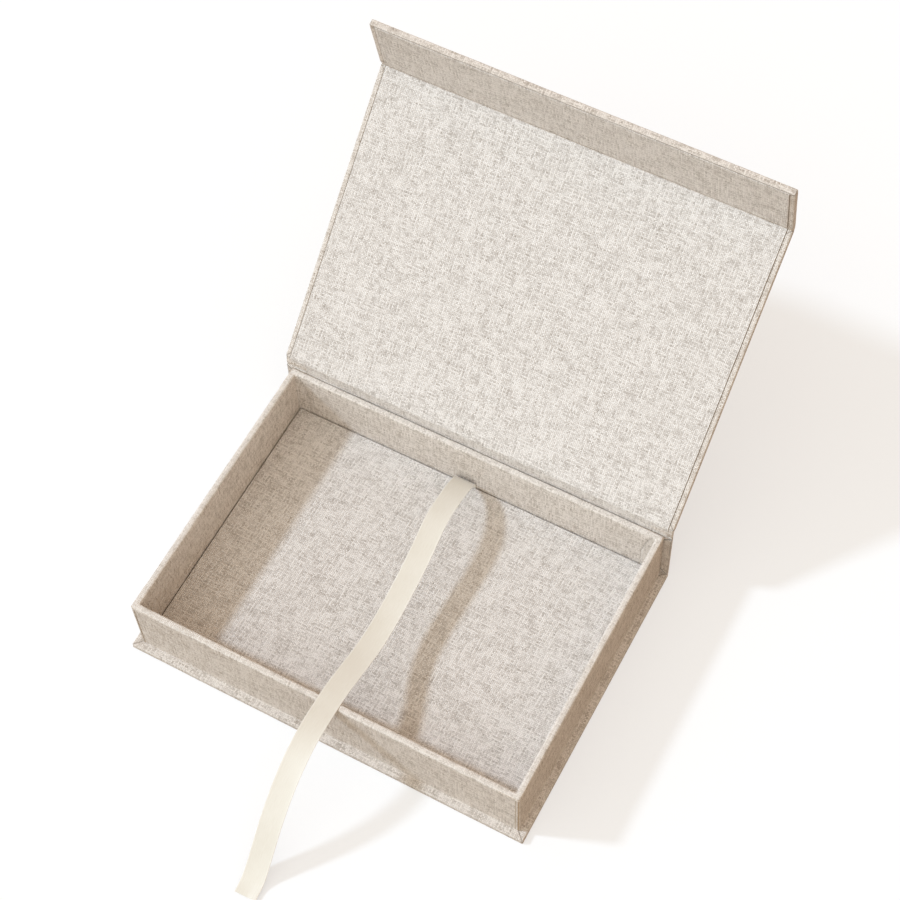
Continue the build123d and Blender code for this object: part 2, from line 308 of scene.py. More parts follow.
def rounded_slab(low: Spot, high: Spot, radius: float, fine: float = 0.35,
                 zone: float = 5.0) -> tuple[Shell, np.ndarray]:
    """A closed block with rounded edges, on a grid that is closest at its edges.

    Args:
        low: Its lowest corner.
        high: Its highest corner.
        radius: The edges' radius.
        fine: Grid step beside the edges.
        zone: How far in the fine steps go.

    Returns:
        The block, and the way out of it at each point.
    """
    lines = [graded_lines(low[k], high[k], radius, fine, zone, SLAB_STEP) for k in range(3)]
    counts = [len(line) for line in lines]
    corners, flats = [], []
    for axis in range(3):
        first, second = [k for k in range(3) if k != axis]
        for side in (0, 1):
            u, v = np.meshgrid(np.arange(counts[first]), np.arange(counts[second]), indexing="ij")
            index = np.empty(u.shape + (3,), int)
            index[..., axis] = side * (counts[axis] - 1)
            index[..., first], index[..., second] = u, v
            quad = np.stack([index[:-1, :-1], index[1:, :-1], index[1:, 1:], index[:-1, 1:]], axis=2)
            if (side == 0) == (axis != 1):
                quad = quad[:, :, ::-1]
            quad = quad.reshape(-1, 4, 3)
            corners.append(quad)
            raw = np.stack([lines[k][quad[..., k]] for k in range(3)], axis=-1)
            flat = raw[..., :2].copy()
            if axis < 2:
                flat[..., axis] += (1 if side else -1) * (high[2] - raw[..., 2])
            flats.append(flat)
    corners = np.concatenate(corners)
    keys = (corners[..., 0] * counts[1] + corners[..., 1]) * counts[2] + corners[..., 2]
    used, quads = np.unique(keys, return_inverse=True)
    index = (used // (counts[1] * counts[2]), used // counts[2] % counts[1], used % counts[2])
    raw = np.stack([lines[k][index[k]] for k in range(3)], axis=1)
    core = np.clip(raw, np.array(low) + radius, np.array(high) - radius)
    way = raw - core
    way /= np.linalg.norm(way, axis=1)[:, None]
    wear = np.clip(2.6 * (1 - np.abs(way).max(axis=1)), 0, 1)
    return Shell(core + radius * way, quads.reshape(-1, 4), np.concatenate(flats), wear), way


def strip_shell(top: np.ndarray, bottom: np.ndarray, flat: np.ndarray, wear: np.ndarray,
                seam: np.ndarray) -> Shell:
    """Close a thin strip from its two faces.

    Args:
        top: Places of the upper face, as a grid of along by across.
        bottom: Places of the lower face, as the same grid.
        flat: The grid's places on the flat cloth.
        wear: The grid's wear.
        seam: The grid's painted shade in seams.

    Returns:
        The closed strip.
    """
    rows, columns = top.shape[:2]
    number = np.arange(rows * columns).reshape(rows, columns)
    under = number + rows * columns

    def sheet_of(grid: np.ndarray) -> np.ndarray:
        """The faces of one grid of point numbers."""
        return np.stack([grid[:-1, :-1], grid[:-1, 1:], grid[1:, 1:], grid[1:, :-1]], axis=-1).reshape(-1, 4)

    def wall(upper: np.ndarray, lower: np.ndarray) -> np.ndarray:
        """The faces between two rows of point numbers."""
        return np.stack([upper[:-1], lower[:-1], lower[1:], upper[1:]], axis=-1)

    quads = np.concatenate([
        sheet_of(number),
        sheet_of(under)[:, ::-1],
        wall(number[0], under[0]),
        wall(number[-1], under[-1])[:, ::-1],
        wall(number[:, 0], under[:, 0])[:, ::-1],
        wall(number[:, -1], under[:, -1]),
    ])
    points = np.concatenate([top.reshape(-1, 3), bottom.reshape(-1, 3)])
    flats = np.tile(flat.reshape(-1, 2), (2, 1))
    return Shell(points, quads, flats[quads], np.tile(wear.ravel(), 2), np.tile(seam.ravel(), 2))


def rounded_route(corners: list[Place], bend: float) -> np.ndarray:
    """A side-view line through rounded corners, with points close together at its bends.

    Args:
        corners: The (y, z) of its ends and corners.
        bend: How far from a corner its arc starts.

    Returns:
        The line's points.
    """
    spots = [np.array(corner, float) for corner in corners]
    last = len(spots) - 1
    line = [spots[0]]
    for number in range(1, len(spots)):
        start, stop = spots[number - 1], spots[number]
        length = np.linalg.norm(stop - start)
        ahead = (stop - start) / length
        reach = min(bend, 0.45 * length)
        from_start = reach if number > 1 else 0.0
        to_stop = reach if number < last else 0.0
        run = graded_lines(from_start, length - to_stop, 0.4 * BEND_STEP, BEND_STEP, 2.0, STRIP_STEP)
        line.extend(start + ahead * place for place in run[1 if number == 1 else 0:])
        if number < last:
            beyond = spots[number + 1] - stop
            onward = min(bend, 0.45 * np.linalg.norm(beyond))
            leave = stop + beyond / np.linalg.norm(beyond) * onward
            enter = stop - ahead * to_stop
            for share in np.linspace(0, 1, 7)[1:-1]:
                line.append((1 - share) ** 2 * enter + 2 * share * (1 - share) * stop + share**2 * leave)
    return np.array(line)


@dataclass
class ClothStrip:
    """A strip of cloth that follows a side-view line.

    Attributes:
        line: The line's (y, z) points.
        half_width: Half the strip's width.
        above: Its upper face from the line, to the left of the way the line goes.
        below: Its lower face from the line, likewise.
        seed: Which unevenness.
        unevenness: How far the cloth rises and falls.
        slack_ends: Whether its far end is rounded as its sides are.
        packed: Lengths along the line, and how much turned-in cloth adds to it there at both sides.
        shaded: Lengths along the line, and how much painted shade darkens it there in a seam.
    """

    line: np.ndarray
    half_width: float
    above: float
    below: float
    seed: int
    unevenness: float
    slack_ends: bool = False
    packed: tuple[Place, ...] = ((0.0, 0.0),)
    shaded: tuple[Place, ...] = ((0.0, 0.0),)

    def shell(self) -> Shell:
        """The closed strip."""
        ahead = directions(self.line)
        left = np.stack([-ahead[:, 1], ahead[:, 0]], axis=1)
        length = lengths_along(self.line)
        across = graded_lines(-self.half_width, self.half_width, CUT_EDGE, 0.4, 3.0, STRIP_STEP)
        from_edge = self.half_width - np.abs(across)
        thick = np.tile(cut_edge(from_edge), (len(length), 1))
        if self.slack_ends:
            thick *= cut_edge(length[-1] - length)[:, None]
        extra = np.interp(length, *np.array(self.packed).T)
        wider = 1 + np.clip(extra, 0, 1) * PACKED_WIDER / self.half_width
        turned_in = extra[:, None] * (1 - ramp(from_edge, TURN_IN - 1.0, TURN_IN))[None, :]
        middle = (self.above + self.below) / 2
        rise = self.unevenness * soft_waves(across[None, :], length[:, None], self.seed, 38.0)
        rise *= ramp(from_edge, 0.0, 4.0)[None, :]

        def face(height: np.ndarray) -> np.ndarray:
            """One face's places."""
            offset = middle + (height - middle) * thick + rise
            grid = np.empty(thick.shape + (3,))
            grid[..., 0] = across[None, :] * wider[:, None]
            grid[..., 1] = self.line[:, 0, None] + left[:, 0, None] * offset
            grid[..., 2] = self.line[:, 1, None] + left[:, 1, None] * offset
            return grid

        flat = np.stack(np.broadcast_arrays(across[None, :], length[:, None]), axis=-1)
        wear = np.tile(bell(from_edge, 0.25), (len(length), 1))
        deep = np.tile(np.interp(length, *np.array(self.shaded).T)[:, None], (1, len(across)))
        top, bottom = face(self.above + turned_in), face(np.full_like(turned_in, self.below))
        return strip_shell(top, bottom, flat, wear, deep)


# ---------------------------------------------------------------- node tools


class Signal:
    """A node's output, so that a sum of such outputs is written as it reads."""

    def __init__(self, sheet: "NodeSheet", socket: bpy.types.NodeSocket) -> None:
        """Take an output of a node on a sheet."""
        self.sheet = sheet
        self.socket = socket

    def math(self, operation: str, *others: object) -> "Signal":
        """A number worked out from this one and others."""
        return self.sheet.math(operation, self, *others)

    def __add__(self, other: object) -> "Signal":
        """The sum."""
        return self.math("ADD", other)

    def __sub__(self, other: object) -> "Signal":
        """The difference."""
        return self.math("SUBTRACT", other)

    def __rsub__(self, other: object) -> "Signal":
        """The difference from a plain number."""
        return self.sheet.math("SUBTRACT", other, self)

    def __mul__(self, other: object) -> "Signal":
        """The product."""
        return self.math("MULTIPLY", other)


class NodeSheet:
    """Short ways to add nodes to one tree and to wire them."""

    def __init__(self, tree: bpy.types.NodeTree) -> None:
        """Work on a tree."""
        self.tree = tree

    def node(self, kind: str, inputs: dict[str | int, object] | None = None,
             **settings: object) -> bpy.types.Node:
        """Add a node of a kind, with what goes into it and its settings."""
        made = self.tree.nodes.new("ShaderNode" + kind)
        for name, value in settings.items():
            setattr(made, name, value)
        self.wire(made, inputs or {})
        return made

    def wire(self, node: bpy.types.Node, inputs: dict[str | int, object]) -> None:
        """Lead signals into a node's sockets, and set plain values on them."""
        for name, value in inputs.items():
            if isinstance(value, Signal):
                self.tree.links.new(value.socket, node.inputs[name])
            else:
                node.inputs[name].default_value = value

    def out(self, node: bpy.types.Node, output: str | int = 0) -> Signal:
        """One output of a node."""
        return Signal(self, node.outputs[output])

    def math(self, operation: str, *values: object) -> Signal:
        """A number worked out from others."""
        return self.out(self.node("Math", dict(enumerate(values)), operation=operation))

    def vector(self, operation: str, *values: object) -> Signal:
        """A vector worked out from others."""
        return self.out(self.node("VectorMath", dict(enumerate(values)), operation=operation))

    def scaled(self, vector: Signal, factor: object) -> Signal:
        """A vector times a number."""
        return self.out(self.node("VectorMath", {0: vector, "Scale": factor}, operation="SCALE"))

    def combined(self, x: object, y: object) -> Signal:
        """A flat vector from two numbers."""
        return self.out(self.node("CombineXYZ", {0: x, 1: y}))

    def separated(self, vector: Signal) -> tuple[Signal, Signal]:
        """The first two numbers of a vector."""
        parts = self.node("SeparateXYZ", {0: vector})
        return self.out(parts, 0), self.out(parts, 1)

    def clamped(self, value: Signal) -> Signal:
        """A number held between 0 and 1."""
        return self.out(self.node("Clamp", {0: value}))

    def noise(self, vector: Signal, scale: float, detail: float, dimensions: str = "2D",
              output: str | int = 0) -> Signal:
        """A noise texture over a vector."""
        inputs = {"Vector": vector, "Scale": scale, "Detail": detail}
        return self.out(self.node("TexNoise", inputs, noise_dimensions=dimensions), output)

    def mixed(self, factor: Signal, first: object, second: object) -> Signal:
        """A colour between two others, each a signal or a plain colour."""
        ends = [end if isinstance(end, Signal) else (*end, 1) for end in (first, second)]
        return self.out(self.node("Mix", {0: factor, 6: ends[0], 7: ends[1]}, data_type="RGBA"), 2)

    def attribute(self, name: str) -> Signal:
        """A number that the mesh holds at its points."""
        return self.out(self.node("Attribute", attribute_name=name), "Fac")

    def cloth(self) -> Signal:
        """The place on the flat cloth, in metres."""
        return self.out(self.node("UVMap", uv_map=CLOTH_MAP))

    def place(self) -> Signal:
        """The place in the box, in metres."""
        return self.out(self.node("TexCoord"), "Object")

    def placed(self, group: bpy.types.NodeTree, **values: object) -> dict[str, Signal]:
        """Add a group with its own values, and give its outputs."""
        made = self.node("Group", node_tree=group)
        self.wire(made, values)
        return {output.name: Signal(self, output) for output in made.outputs}

    def bumped(self, height: Signal, strength: float, distance: float) -> Signal:
        """A normal from a height, through a bump of a strength and a depth in metres."""
        return self.out(self.node("Bump", {"Height": height, "Strength": strength, "Distance": distance}))


class GroupSheet(NodeSheet):
    """The sheet of a shader node group."""

    def __init__(self, name: str, **inputs: float | None) -> None:
        """Start a group.

        Args:
            name: The group's name.
            inputs: Each input's name and default; None makes it a vector.
        """
        super().__init__(bpy.data.node_groups.new(name, "ShaderNodeTree"))
        for label, default in inputs.items():
            kind = "NodeSocketVector" if default is None else "NodeSocketFloat"
            socket = self.tree.interface.new_socket(name=label, in_out="INPUT", socket_type=kind)
            if default is not None:
                socket.default_value = default
        inlet = self.tree.nodes.new("NodeGroupInput")
        self.given = {label: self.out(inlet, label) for label in inputs}

    def closed(self, outputs: dict[str, Signal]) -> bpy.types.NodeTree:
        """Finish the group with its named outputs, all of them numbers."""
        for label in outputs:
            self.tree.interface.new_socket(name=label, in_out="OUTPUT", socket_type="NodeSocketFloat")
        self.wire(self.tree.nodes.new("NodeGroupOutput"), outputs)
        return self.tree


@cache
def plain_weave() -> bpy.types.NodeTree:
    """Group: threads that go over and under each other, some of them thicker, on the flat cloth."""
    sheet = GroupSheet("plain_weave", Cloth=None, Pitch=0.0009, Run=0.13, Drift=1.2)
    given = sheet.given
    threads = sheet.scaled(given["Cloth"], sheet.math("DIVIDE", 1.0, given["Pitch"]))
    wander = sheet.vector("SUBTRACT", sheet.noise(threads, 0.03, 2.0, output="Color"), (0.5, 0.5, 0.5))
    ways = sheet.separated(sheet.vector("ADD", threads, sheet.scaled(wander, given["Drift"])))
    tops, tones, slubs = [], [], []
    for number in (0, 1):
        over, beside = ways[number], ways[1 - number]
        thread, crossing = over.math("FLOOR"), beside.math("FLOOR")
        place = sheet.combined(thread * 7.31 + 40.0 * number, beside * given["Run"] + thread * 0.617)
        tone = sheet.noise(place, 1.0, 3.0)
        elsewhere = sheet.vector("ADD", sheet.scaled(place, 0.83), (91.7, 13.9, 0.0))
        slub = sheet.out(sheet.node(
            "MapRange", {"Value": sheet.noise(elsewhere, 1.0, 1.0), "From Min": 0.62, "From Max": 0.72},
            interpolation_type="SMOOTHSTEP"))
        hump, lift = [((way.math("FRACT") - 0.5) * math.pi).math("COSINE") for way in (over, beside)]
        odd = (thread + crossing).math("FLOORED_MODULO", 2.0)
        side = odd * (2.0 - 4.0 * number) + (2.0 * number - 1.0)
        height = side * lift * 0.42 + 0.5 + (tone - 0.5) * 0.9 + slub * 0.3
        tops.append(hump.math("POWER", 0.55) * height)
        tones.append(tone)
        slubs.append(slub)
    on_top = tops[0].math("GREATER_THAN", tops[1])
    height = tops[0].math("MAXIMUM", tops[1])
    tone, slub = [on_top * (pair[0] - pair[1]) + pair[1] for pair in (tones, slubs)]
    return sheet.closed({"Height": height, "Thread Tone": tone, "Gap": 1.0 - height, "Slub": slub})


@cache
def fibres() -> bpy.types.NodeTree:
    """Group: fine fuzz and slow mottling over any surface."""
    sheet = GroupSheet("fibres", Vector=None, Fineness=3000.0, Spread=25.0)
    fine, slow = [sheet.scaled(sheet.given["Vector"], sheet.given[name]) for name in ("Fineness", "Spread")]
    fuzz, mottle = sheet.noise(fine, 1.0, 3.0, "3D"), sheet.noise(slow, 1.0, 4.0, "3D")
    return sheet.closed({"Fuzz": fuzz, "Mottle": mottle})


@cache
def rubbed() -> bpy.types.NodeTree:
    """Group: how much an edge is rubbed, which is its wear, broken up by noise."""
    sheet = GroupSheet("rubbed", Cloth=None, Amount=0.5)
    patchy = sheet.noise(sheet.given["Cloth"], 260.0, 3.0) * 1.4 - 0.1
    return sheet.closed({"Mask": sheet.clamped(patchy * sheet.attribute(WEAR) * sheet.given["Amount"])})


# ---------------------------------------------------------------- finishes


@dataclass(frozen=True)
class Finish:
    """What every finish has: the material's name and its two main colours."""

    name: str
    light: Colour
    dark: Colour

    def paint(self, sheet: NodeSheet) -> dict[str, object]:
        """The values of the shader's sockets."""
        raise NotImplementedError

    def material(self) -> bpy.types.Material:
        """Build the material."""
        made = bpy.data.materials.new(self.name)
        made.use_nodes = True
        sheet = NodeSheet(made.node_tree)
        sheet.wire(made.node_tree.nodes["Principled BSDF"], self.paint(sheet))
        return made


@dataclass(frozen=True)
class LinenFinish(Finish):
    """Linen book cloth.

    Attributes:
        worn: Colour of rubbed edges.
        seam: Colour of the painted shade down in seams and gaps.
        pitch: From thread to thread, in metres.
        streaks: How far the threads differ.
        slubs: How much lighter the thick threads are.
        gaps: How dark the gaps are.
        middle: Where the tone lies between dark and light.
        mottle: How far the tone drifts slowly.
        fuzz: How far the fibres' tone differs.
    """

    worn: Colour
    # Colour of the painted shade in seams, gaps and creases.
    seam: Colour = (0.16, 0.11, 0.07)
    pitch: float = 0.00092
    streaks: float = 2.0
    slubs: float = 0.35
    gaps: float = 0.5
    middle: float = 0.86
    mottle: float = 0.1
    fuzz: float = 1.3

    def paint(self, sheet: NodeSheet) -> dict[str, object]:
        """Threads, fuzz, rubbed edges and painted shade in seams and gaps."""
        cloth = sheet.cloth()
        weave = sheet.placed(plain_weave(), Cloth=cloth, Pitch=self.pitch)
        fibre = sheet.placed(fibres(), Vector=cloth, Fineness=1500.0)
        worn = sheet.placed(rubbed(), Cloth=cloth, Amount=0.5)["Mask"]
        tone = (weave["Thread Tone"] - 0.5) * self.streaks + weave["Slub"] * self.slubs
        tone = tone + (fibre["Mottle"] - 0.5) * self.mottle
        tone = tone + (fibre["Fuzz"] - 0.5) * self.fuzz + (weave["Gap"] * -self.gaps + self.middle)
        colour = sheet.mixed(sheet.clamped(tone), self.dark, self.light)
        colour = sheet.mixed(worn, colour, self.worn)
        return {
            # Painted shade: the seam mask darkens the cloth towards the seam colour.
            "Base Color": sheet.mixed(sheet.attribute(SEAM_SHADE), colour, self.seam),
            "Roughness": fibre["Fuzz"] * -0.12 + 0.95,
            "Specular IOR Level": 0.2,
            "Normal": sheet.bumped(fibre["Fuzz"] * 0.2 + weave["Height"], 0.85, 0.00028),
        }


@dataclass(frozen=True)
class SatinFinish(Finish):
    """Satin ribbon with a firmer selvedge on both sides.

    Attributes:
        half_width: Half the ribbon's width, in metres.
        selvedge: The selvedge's width, in metres.
        pick: From cross thread to cross thread, in metres.
    """

    half_width: float = 0.006
    selvedge: float = 0.0007
    pick: float = 0.00045

    def paint(self, sheet: NodeSheet) -> dict[str, object]:
        """Long fine threads, cross threads and selvedges."""
        cloth = sheet.cloth()
        across, along = sheet.separated(cloth)
        on_selvedge = (self.half_width - across.math("ABSOLUTE")).math("LESS_THAN", self.selvedge)
        lines = sheet.noise(sheet.combined(across * 5200.0, along * 190.0), 1.0, 3.0)
        picks = (along * (2 * math.pi / self.pick)).math("SINE")
        fibre = sheet.placed(fibres(), Vector=cloth, Fineness=1400.0, Spread=60.0)
        tone = (lines - 0.5) * 0.9 + 0.6 + (fibre["Mottle"] - 0.5) * 0.5 + on_selvedge * 0.35
        height = lines * 0.7 + picks * 0.2 + on_selvedge * 0.8
        return {
            "Base Color": sheet.mixed(sheet.clamped(tone), self.dark, self.light),
            "Roughness": fibre["Fuzz"] * 0.12 + 0.34 + on_selvedge * 0.2,
            "Specular IOR Level": 0.45,
            "Sheen Weight": 0.15,
            "Normal": sheet.bumped(height, 0.4, 0.00008),
        }


@dataclass(frozen=True)
class PulpFinish(Finish):
    """Board, card or paper: pressed fibres with specks and a pressed direction."""

    fleck: Colour
    grain: float = 900.0
    flecks: float = 0.68

    def paint(self, sheet: NodeSheet) -> dict[str, object]:
        """Strands, mottling and flecks."""
        place = sheet.place()
        fibre = sheet.placed(fibres(), Vector=place, Fineness=self.grain, Spread=45.0)
        strands = sheet.noise(sheet.vector("MULTIPLY", place, (0.25, 1.0, 1.0)), 1700.0, 4.0, "3D")
        colour = sheet.mixed(strands * 0.6 + fibre["Mottle"] * 0.4, self.dark, self.light)
        speck = fibre["Fuzz"].math("GREATER_THAN", self.flecks)
        return {
            "Base Color": sheet.mixed(speck, colour, self.fleck),
            "Roughness": strands * 0.15 + 0.78,
            "Normal": sheet.bumped(strands + fibre["Fuzz"], 0.5, 0.00012),
        }


@dataclass(frozen=True)
class FoamFinish(Finish):
    """Open-cell foam of the padded floor, light on its skin, with painted shade in its pores."""

    cells: float = 2200.0

    def paint(self, sheet: NodeSheet) -> dict[str, object]:
        """Cells with painted shade in their pores, and mottling."""
        place = sheet.place()
        cells = sheet.node("TexVoronoi", {"Vector": place, "Scale": self.cells}, feature="DISTANCE_TO_EDGE")
        fibre = sheet.placed(fibres(), Vector=place, Fineness=1200.0, Spread=30.0)
        open_cell = sheet.out(cells, "Distance") * 2.4
        return {
            # Painted shade: each cell is darker towards its middle, where the pore is.
            "Base Color": sheet.mixed(fibre["Mottle"] * 0.3 + open_cell, self.light, self.dark),
            "Roughness": fibre["Fuzz"] * 0.1 + 0.86,
            "Normal": sheet.bumped(1.0 - open_cell, 0.8, 0.0003),
        }


@dataclass(frozen=True)
class NickelFinish(Finish):
    """Nickel plating of the magnets."""

    def paint(self, sheet: NodeSheet) -> dict[str, object]:
        """Slightly uneven plating."""
        fibre = sheet.placed(fibres(), Vector=sheet.place(), Fineness=2600.0, Spread=160.0)
        return {
            "Base Color": sheet.mixed(fibre["Mottle"], self.dark, self.light),
            "Metallic": 1.0,
            "Roughness": fibre["Fuzz"] * 0.25 + 0.18,
            "Normal": sheet.bumped(fibre["Fuzz"], 0.15, 0.00005),
        }


FLOOR_CARD = PulpFinish("floor_card", (0.80, 0.78, 0.73), (0.64, 0.61, 0.56), (0.45, 0.42, 0.38))
FINISHES = {
    Slot.OUTER_LINEN: LinenFinish("outer_linen", (0.83, 0.765, 0.70), (0.41, 0.345, 0.285),
                                  (0.86, 0.81, 0.75)),
    Slot.LINING_LINEN: LinenFinish("lining_linen", (0.84, 0.793, 0.747), (0.425, 0.378, 0.336),
                                   (0.86, 0.82, 0.78)),
    Slot.SATIN: SatinFinish("satin", (0.84, 0.80, 0.72), (0.72, 0.67, 0.57)),
    Slot.GREYBOARD: PulpFinish("greyboard", (0.42, 0.40, 0.37), (0.27, 0.25, 0.23), (0.12, 0.11, 0.10)),
    Slot.PAPER_TAPE: PulpFinish("paper_tape", (0.62, 0.46, 0.30), (0.45, 0.32, 0.20), (0.30, 0.20, 0.12)),
    Slot.PAD_FOAM: FoamFinish("pad_foam", (0.86, 0.84, 0.78), (0.52, 0.50, 0.45)),
    Slot.MAGNET: NickelFinish("nickel_plating", (0.72, 0.70, 0.66), (0.50, 0.48, 0.45)),
}


# ---------------------------------------------------------------- sub-assemblies


@dataclass
class SubAssembly:
    """Pieces that are built and dressed together.

    Attributes:
        made: Each piece and the slot that its finish comes from.
    """

    made: list[tuple[bpy.types.Object, Slot]] = field(default_factory=list, init=False)

    def add(self, shell: Shell, name: str, slot: Slot, body: Body | None = None,
            nodes: tuple[str, ...] = ()) -> bpy.types.Object:
        """Make a piece.

        Args:
            shell: Its skin.
            name: Its name.
            slot: The slot for its finish.
            body: The body it rides on, if any.
            nodes: The CAD solids that it stands for.

        Returns:
            The new object.
        """
        piece = shell.make(name)
        if body:
            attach(piece, body.value)
        if nodes:
            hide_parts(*nodes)
        self.made.append((piece, slot))
        return piece

    def add_strip(self, strip: ClothStrip, name: str, slot: Slot, bodies: tuple[Body, Body],
                  bend: tuple[Place, Place], held: str, rests_on: list[str],
                  nodes: tuple[str, ...] = ()) -> None:
        """Make a strip of cloth, attached to no body, that does not bend.

        Args:
            strip: Its shape.
            name: Its name.
            slot: The slot for its finish.
            bodies: The body before the bend and the one after it; not used.
            bend: Where the bend starts and ends, in (y, z); its places are worked out in metres but not used.
            held: How the sheet is held; not used.
            rests_on: What it lies on; not used.
            nodes: The CAD solids that it stands for.
        """
        piece = self.add(strip.shell(), name, slot)
        in_metres(bend[0])
        in_metres(bend[1])
        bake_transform(piece)
        if nodes:
            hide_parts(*nodes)
        flat = (2 * strip.half_width * MM, float(lengths_along(strip.line)[-1]) * MM)

    def build(self) -> None:
        """Make the pieces."""
        raise NotImplementedError

    def dress(self, materials: dict[Slot, bpy.types.Material]) -> None:
        """Give each piece its material."""
        for piece, slot in self.made:
            piece.data.materials.append(materials[slot])
            log.info("%s: %d faces", piece.name, len(piece.data.polygons))


@dataclass
class WrappedPanel(SubAssembly):
    """A board of the case, wrapped in linen that is turned in over its edges.

    Attributes:
        name: The cloth piece's name.
        place: Where the panel lies.
        start: Where the wrapped board starts along the panel.
        end: Where it ends.
        body: The body it rides on.
        nodes: The CAD cloth that it stands for.
        seed: Which unevenness.
        thickness: The wrapped board's.
        lining_end: From its far end to its lining, or nothing where the lining runs on.
        lined: Whether a lining lies on it, inside its sides.
        edge_radius: How round the cloth lies over the board's edges.
        mitre_depth: How deep the mitred corners' seams are.
        mitre_width: How wide they are.
        mitre_reach: How far in they start to fade.
        groove_depth: How deep the groove beside a lining is.
        groove_width: How wide it is.
        waviness: How far the cloth rises and falls.
    """

    name: str
    place: PanelFrame
    start: float
    end: float
    body: Body
    nodes: tuple[str, ...]
    seed: int
    thickness: float = PANEL
    lining_end: float | None = None
    lined: bool = False
    edge_radius: float = 0.7
    mitre_depth: float = 0.3
    mitre_width: float = 0.3
    mitre_reach: float = 4.4
    groove_depth: float = 0.22
    groove_width: float = 0.22
    waviness: float = 0.05

    def grooves(self, from_side: np.ndarray, from_far: np.ndarray) -> np.ndarray:
        """How deep in the groove beside the lining each point is, from 0 to 1.

        Args:
            from_side: How far each point is from the nearer side.
            from_far: How far it is from the panel's far end.

        Returns:
            One value a point.
        """
        inset = SIZES.liner_inset
        groove = bell(from_side - inset + 0.2, self.groove_width)
        if self.lining_end is None:
            return groove
        across = bell(from_far - self.lining_end + 0.3, self.groove_width)
        return np.maximum(groove * ramp(from_far, self.lining_end - 0.7, self.lining_end - 0.3),
                          across * ramp(from_side, inset - 0.7, inset - 0.3))

    def build(self) -> None:
        """Make the wrapped panel's skin."""
        half, thickness = HALF_WIDTH, self.thickness
        shell, way = rounded_slab((-half, self.start, 0.0), (half, self.end, thickness), self.edge_radius)
        across, along, depth = shell.points.T
        from_side = half - np.abs(across)
        from_end = np.minimum(along - self.start, self.end - along)
        mitre = bell(from_side - from_end, self.mitre_width)
        mitre *= 1 - ramp(np.maximum(from_side, from_end), self.mitre_reach, self.mitre_reach + 1.0)
        mitre *= ramp(depth, 0.15 * thickness, 0.35 * thickness)
        groove = np.zeros(len(across))
        if self.lined:
            groove = self.grooves(from_side, self.end - along)
            groove *= ramp(depth, 0.9 * thickness, 0.99 * thickness)
        lift = self.waviness * soft_waves(across, along, self.seed, 42.0)
        edge_waves = soft_waves(across + depth, along - depth, self.seed + 50, 16.0)
        lift += self.waviness * edge_waves * (shell.wear > 0.05)
        lift -= self.mitre_depth * mitre + self.groove_depth * groove
        shell.points = shell.points + way * lift[:, None]
        shell.points[:, 2] = np.clip(shell.points[:, 2], 0.0, None)
        shell.wear = np.clip(shell.wear - 0.9 * mitre, 0, 1)
        # Painted shade: the mitred seams and the groove beside the lining are darkened.
        shell.seam = np.maximum(0.75 * mitre, 0.8 * groove)
        shell.points = self.place.place(shell.points)
        self.add(shell, self.name, Slot.OUTER_LINEN, self.body, self.nodes)


class Base(WrappedPanel):
    """The panel that the tray stands on."""

    def __init__(self) -> None:
        """Lay it under the tray."""
        super().__init__("base_cloth", BASE_FRAME, 0.0, LID_LENGTH, Body.ROOT, ("base_cover",), 11)


class Spine(WrappedPanel):
    """The upright panel behind the tray."""

    def __init__(self) -> None:
        """Stand it on the base's rear edge, a little thinner than its solid, so the tray's cloth is clear."""
        thickness = SIZES.spine_card + 2 * SIZES.cloth - 0.25
        super().__init__("spine_cloth", SPINE_FRAME, PANEL, RIM, Body.ROOT, ("spine_cover", "spine_liner"),
                         12, thickness)


class Lid(WrappedPanel):
    """The panel that stands open."""

    def __init__(self) -> None:
        """Hang it on the hinge line."""
        super().__init__("lid_cloth", LID_FRAME, SLAB_SETBACK + 0.3, LID_LENGTH - SLAB_SETBACK, Body.LID,
                         ("lid_cover",), 13, lined=True)


class Flap(WrappedPanel):
    """The magnetic flap at the lid's far edge."""

    def __init__(self) -> None:
        """Hang it on the fold line."""
        super().__init__("flap_cloth", FLAP_FRAME, FLAP_SETBACK, SIZES.flap_length, Body.FLAP,
                         ("flap_cover",), 14, lining_end=1.0, lined=True)


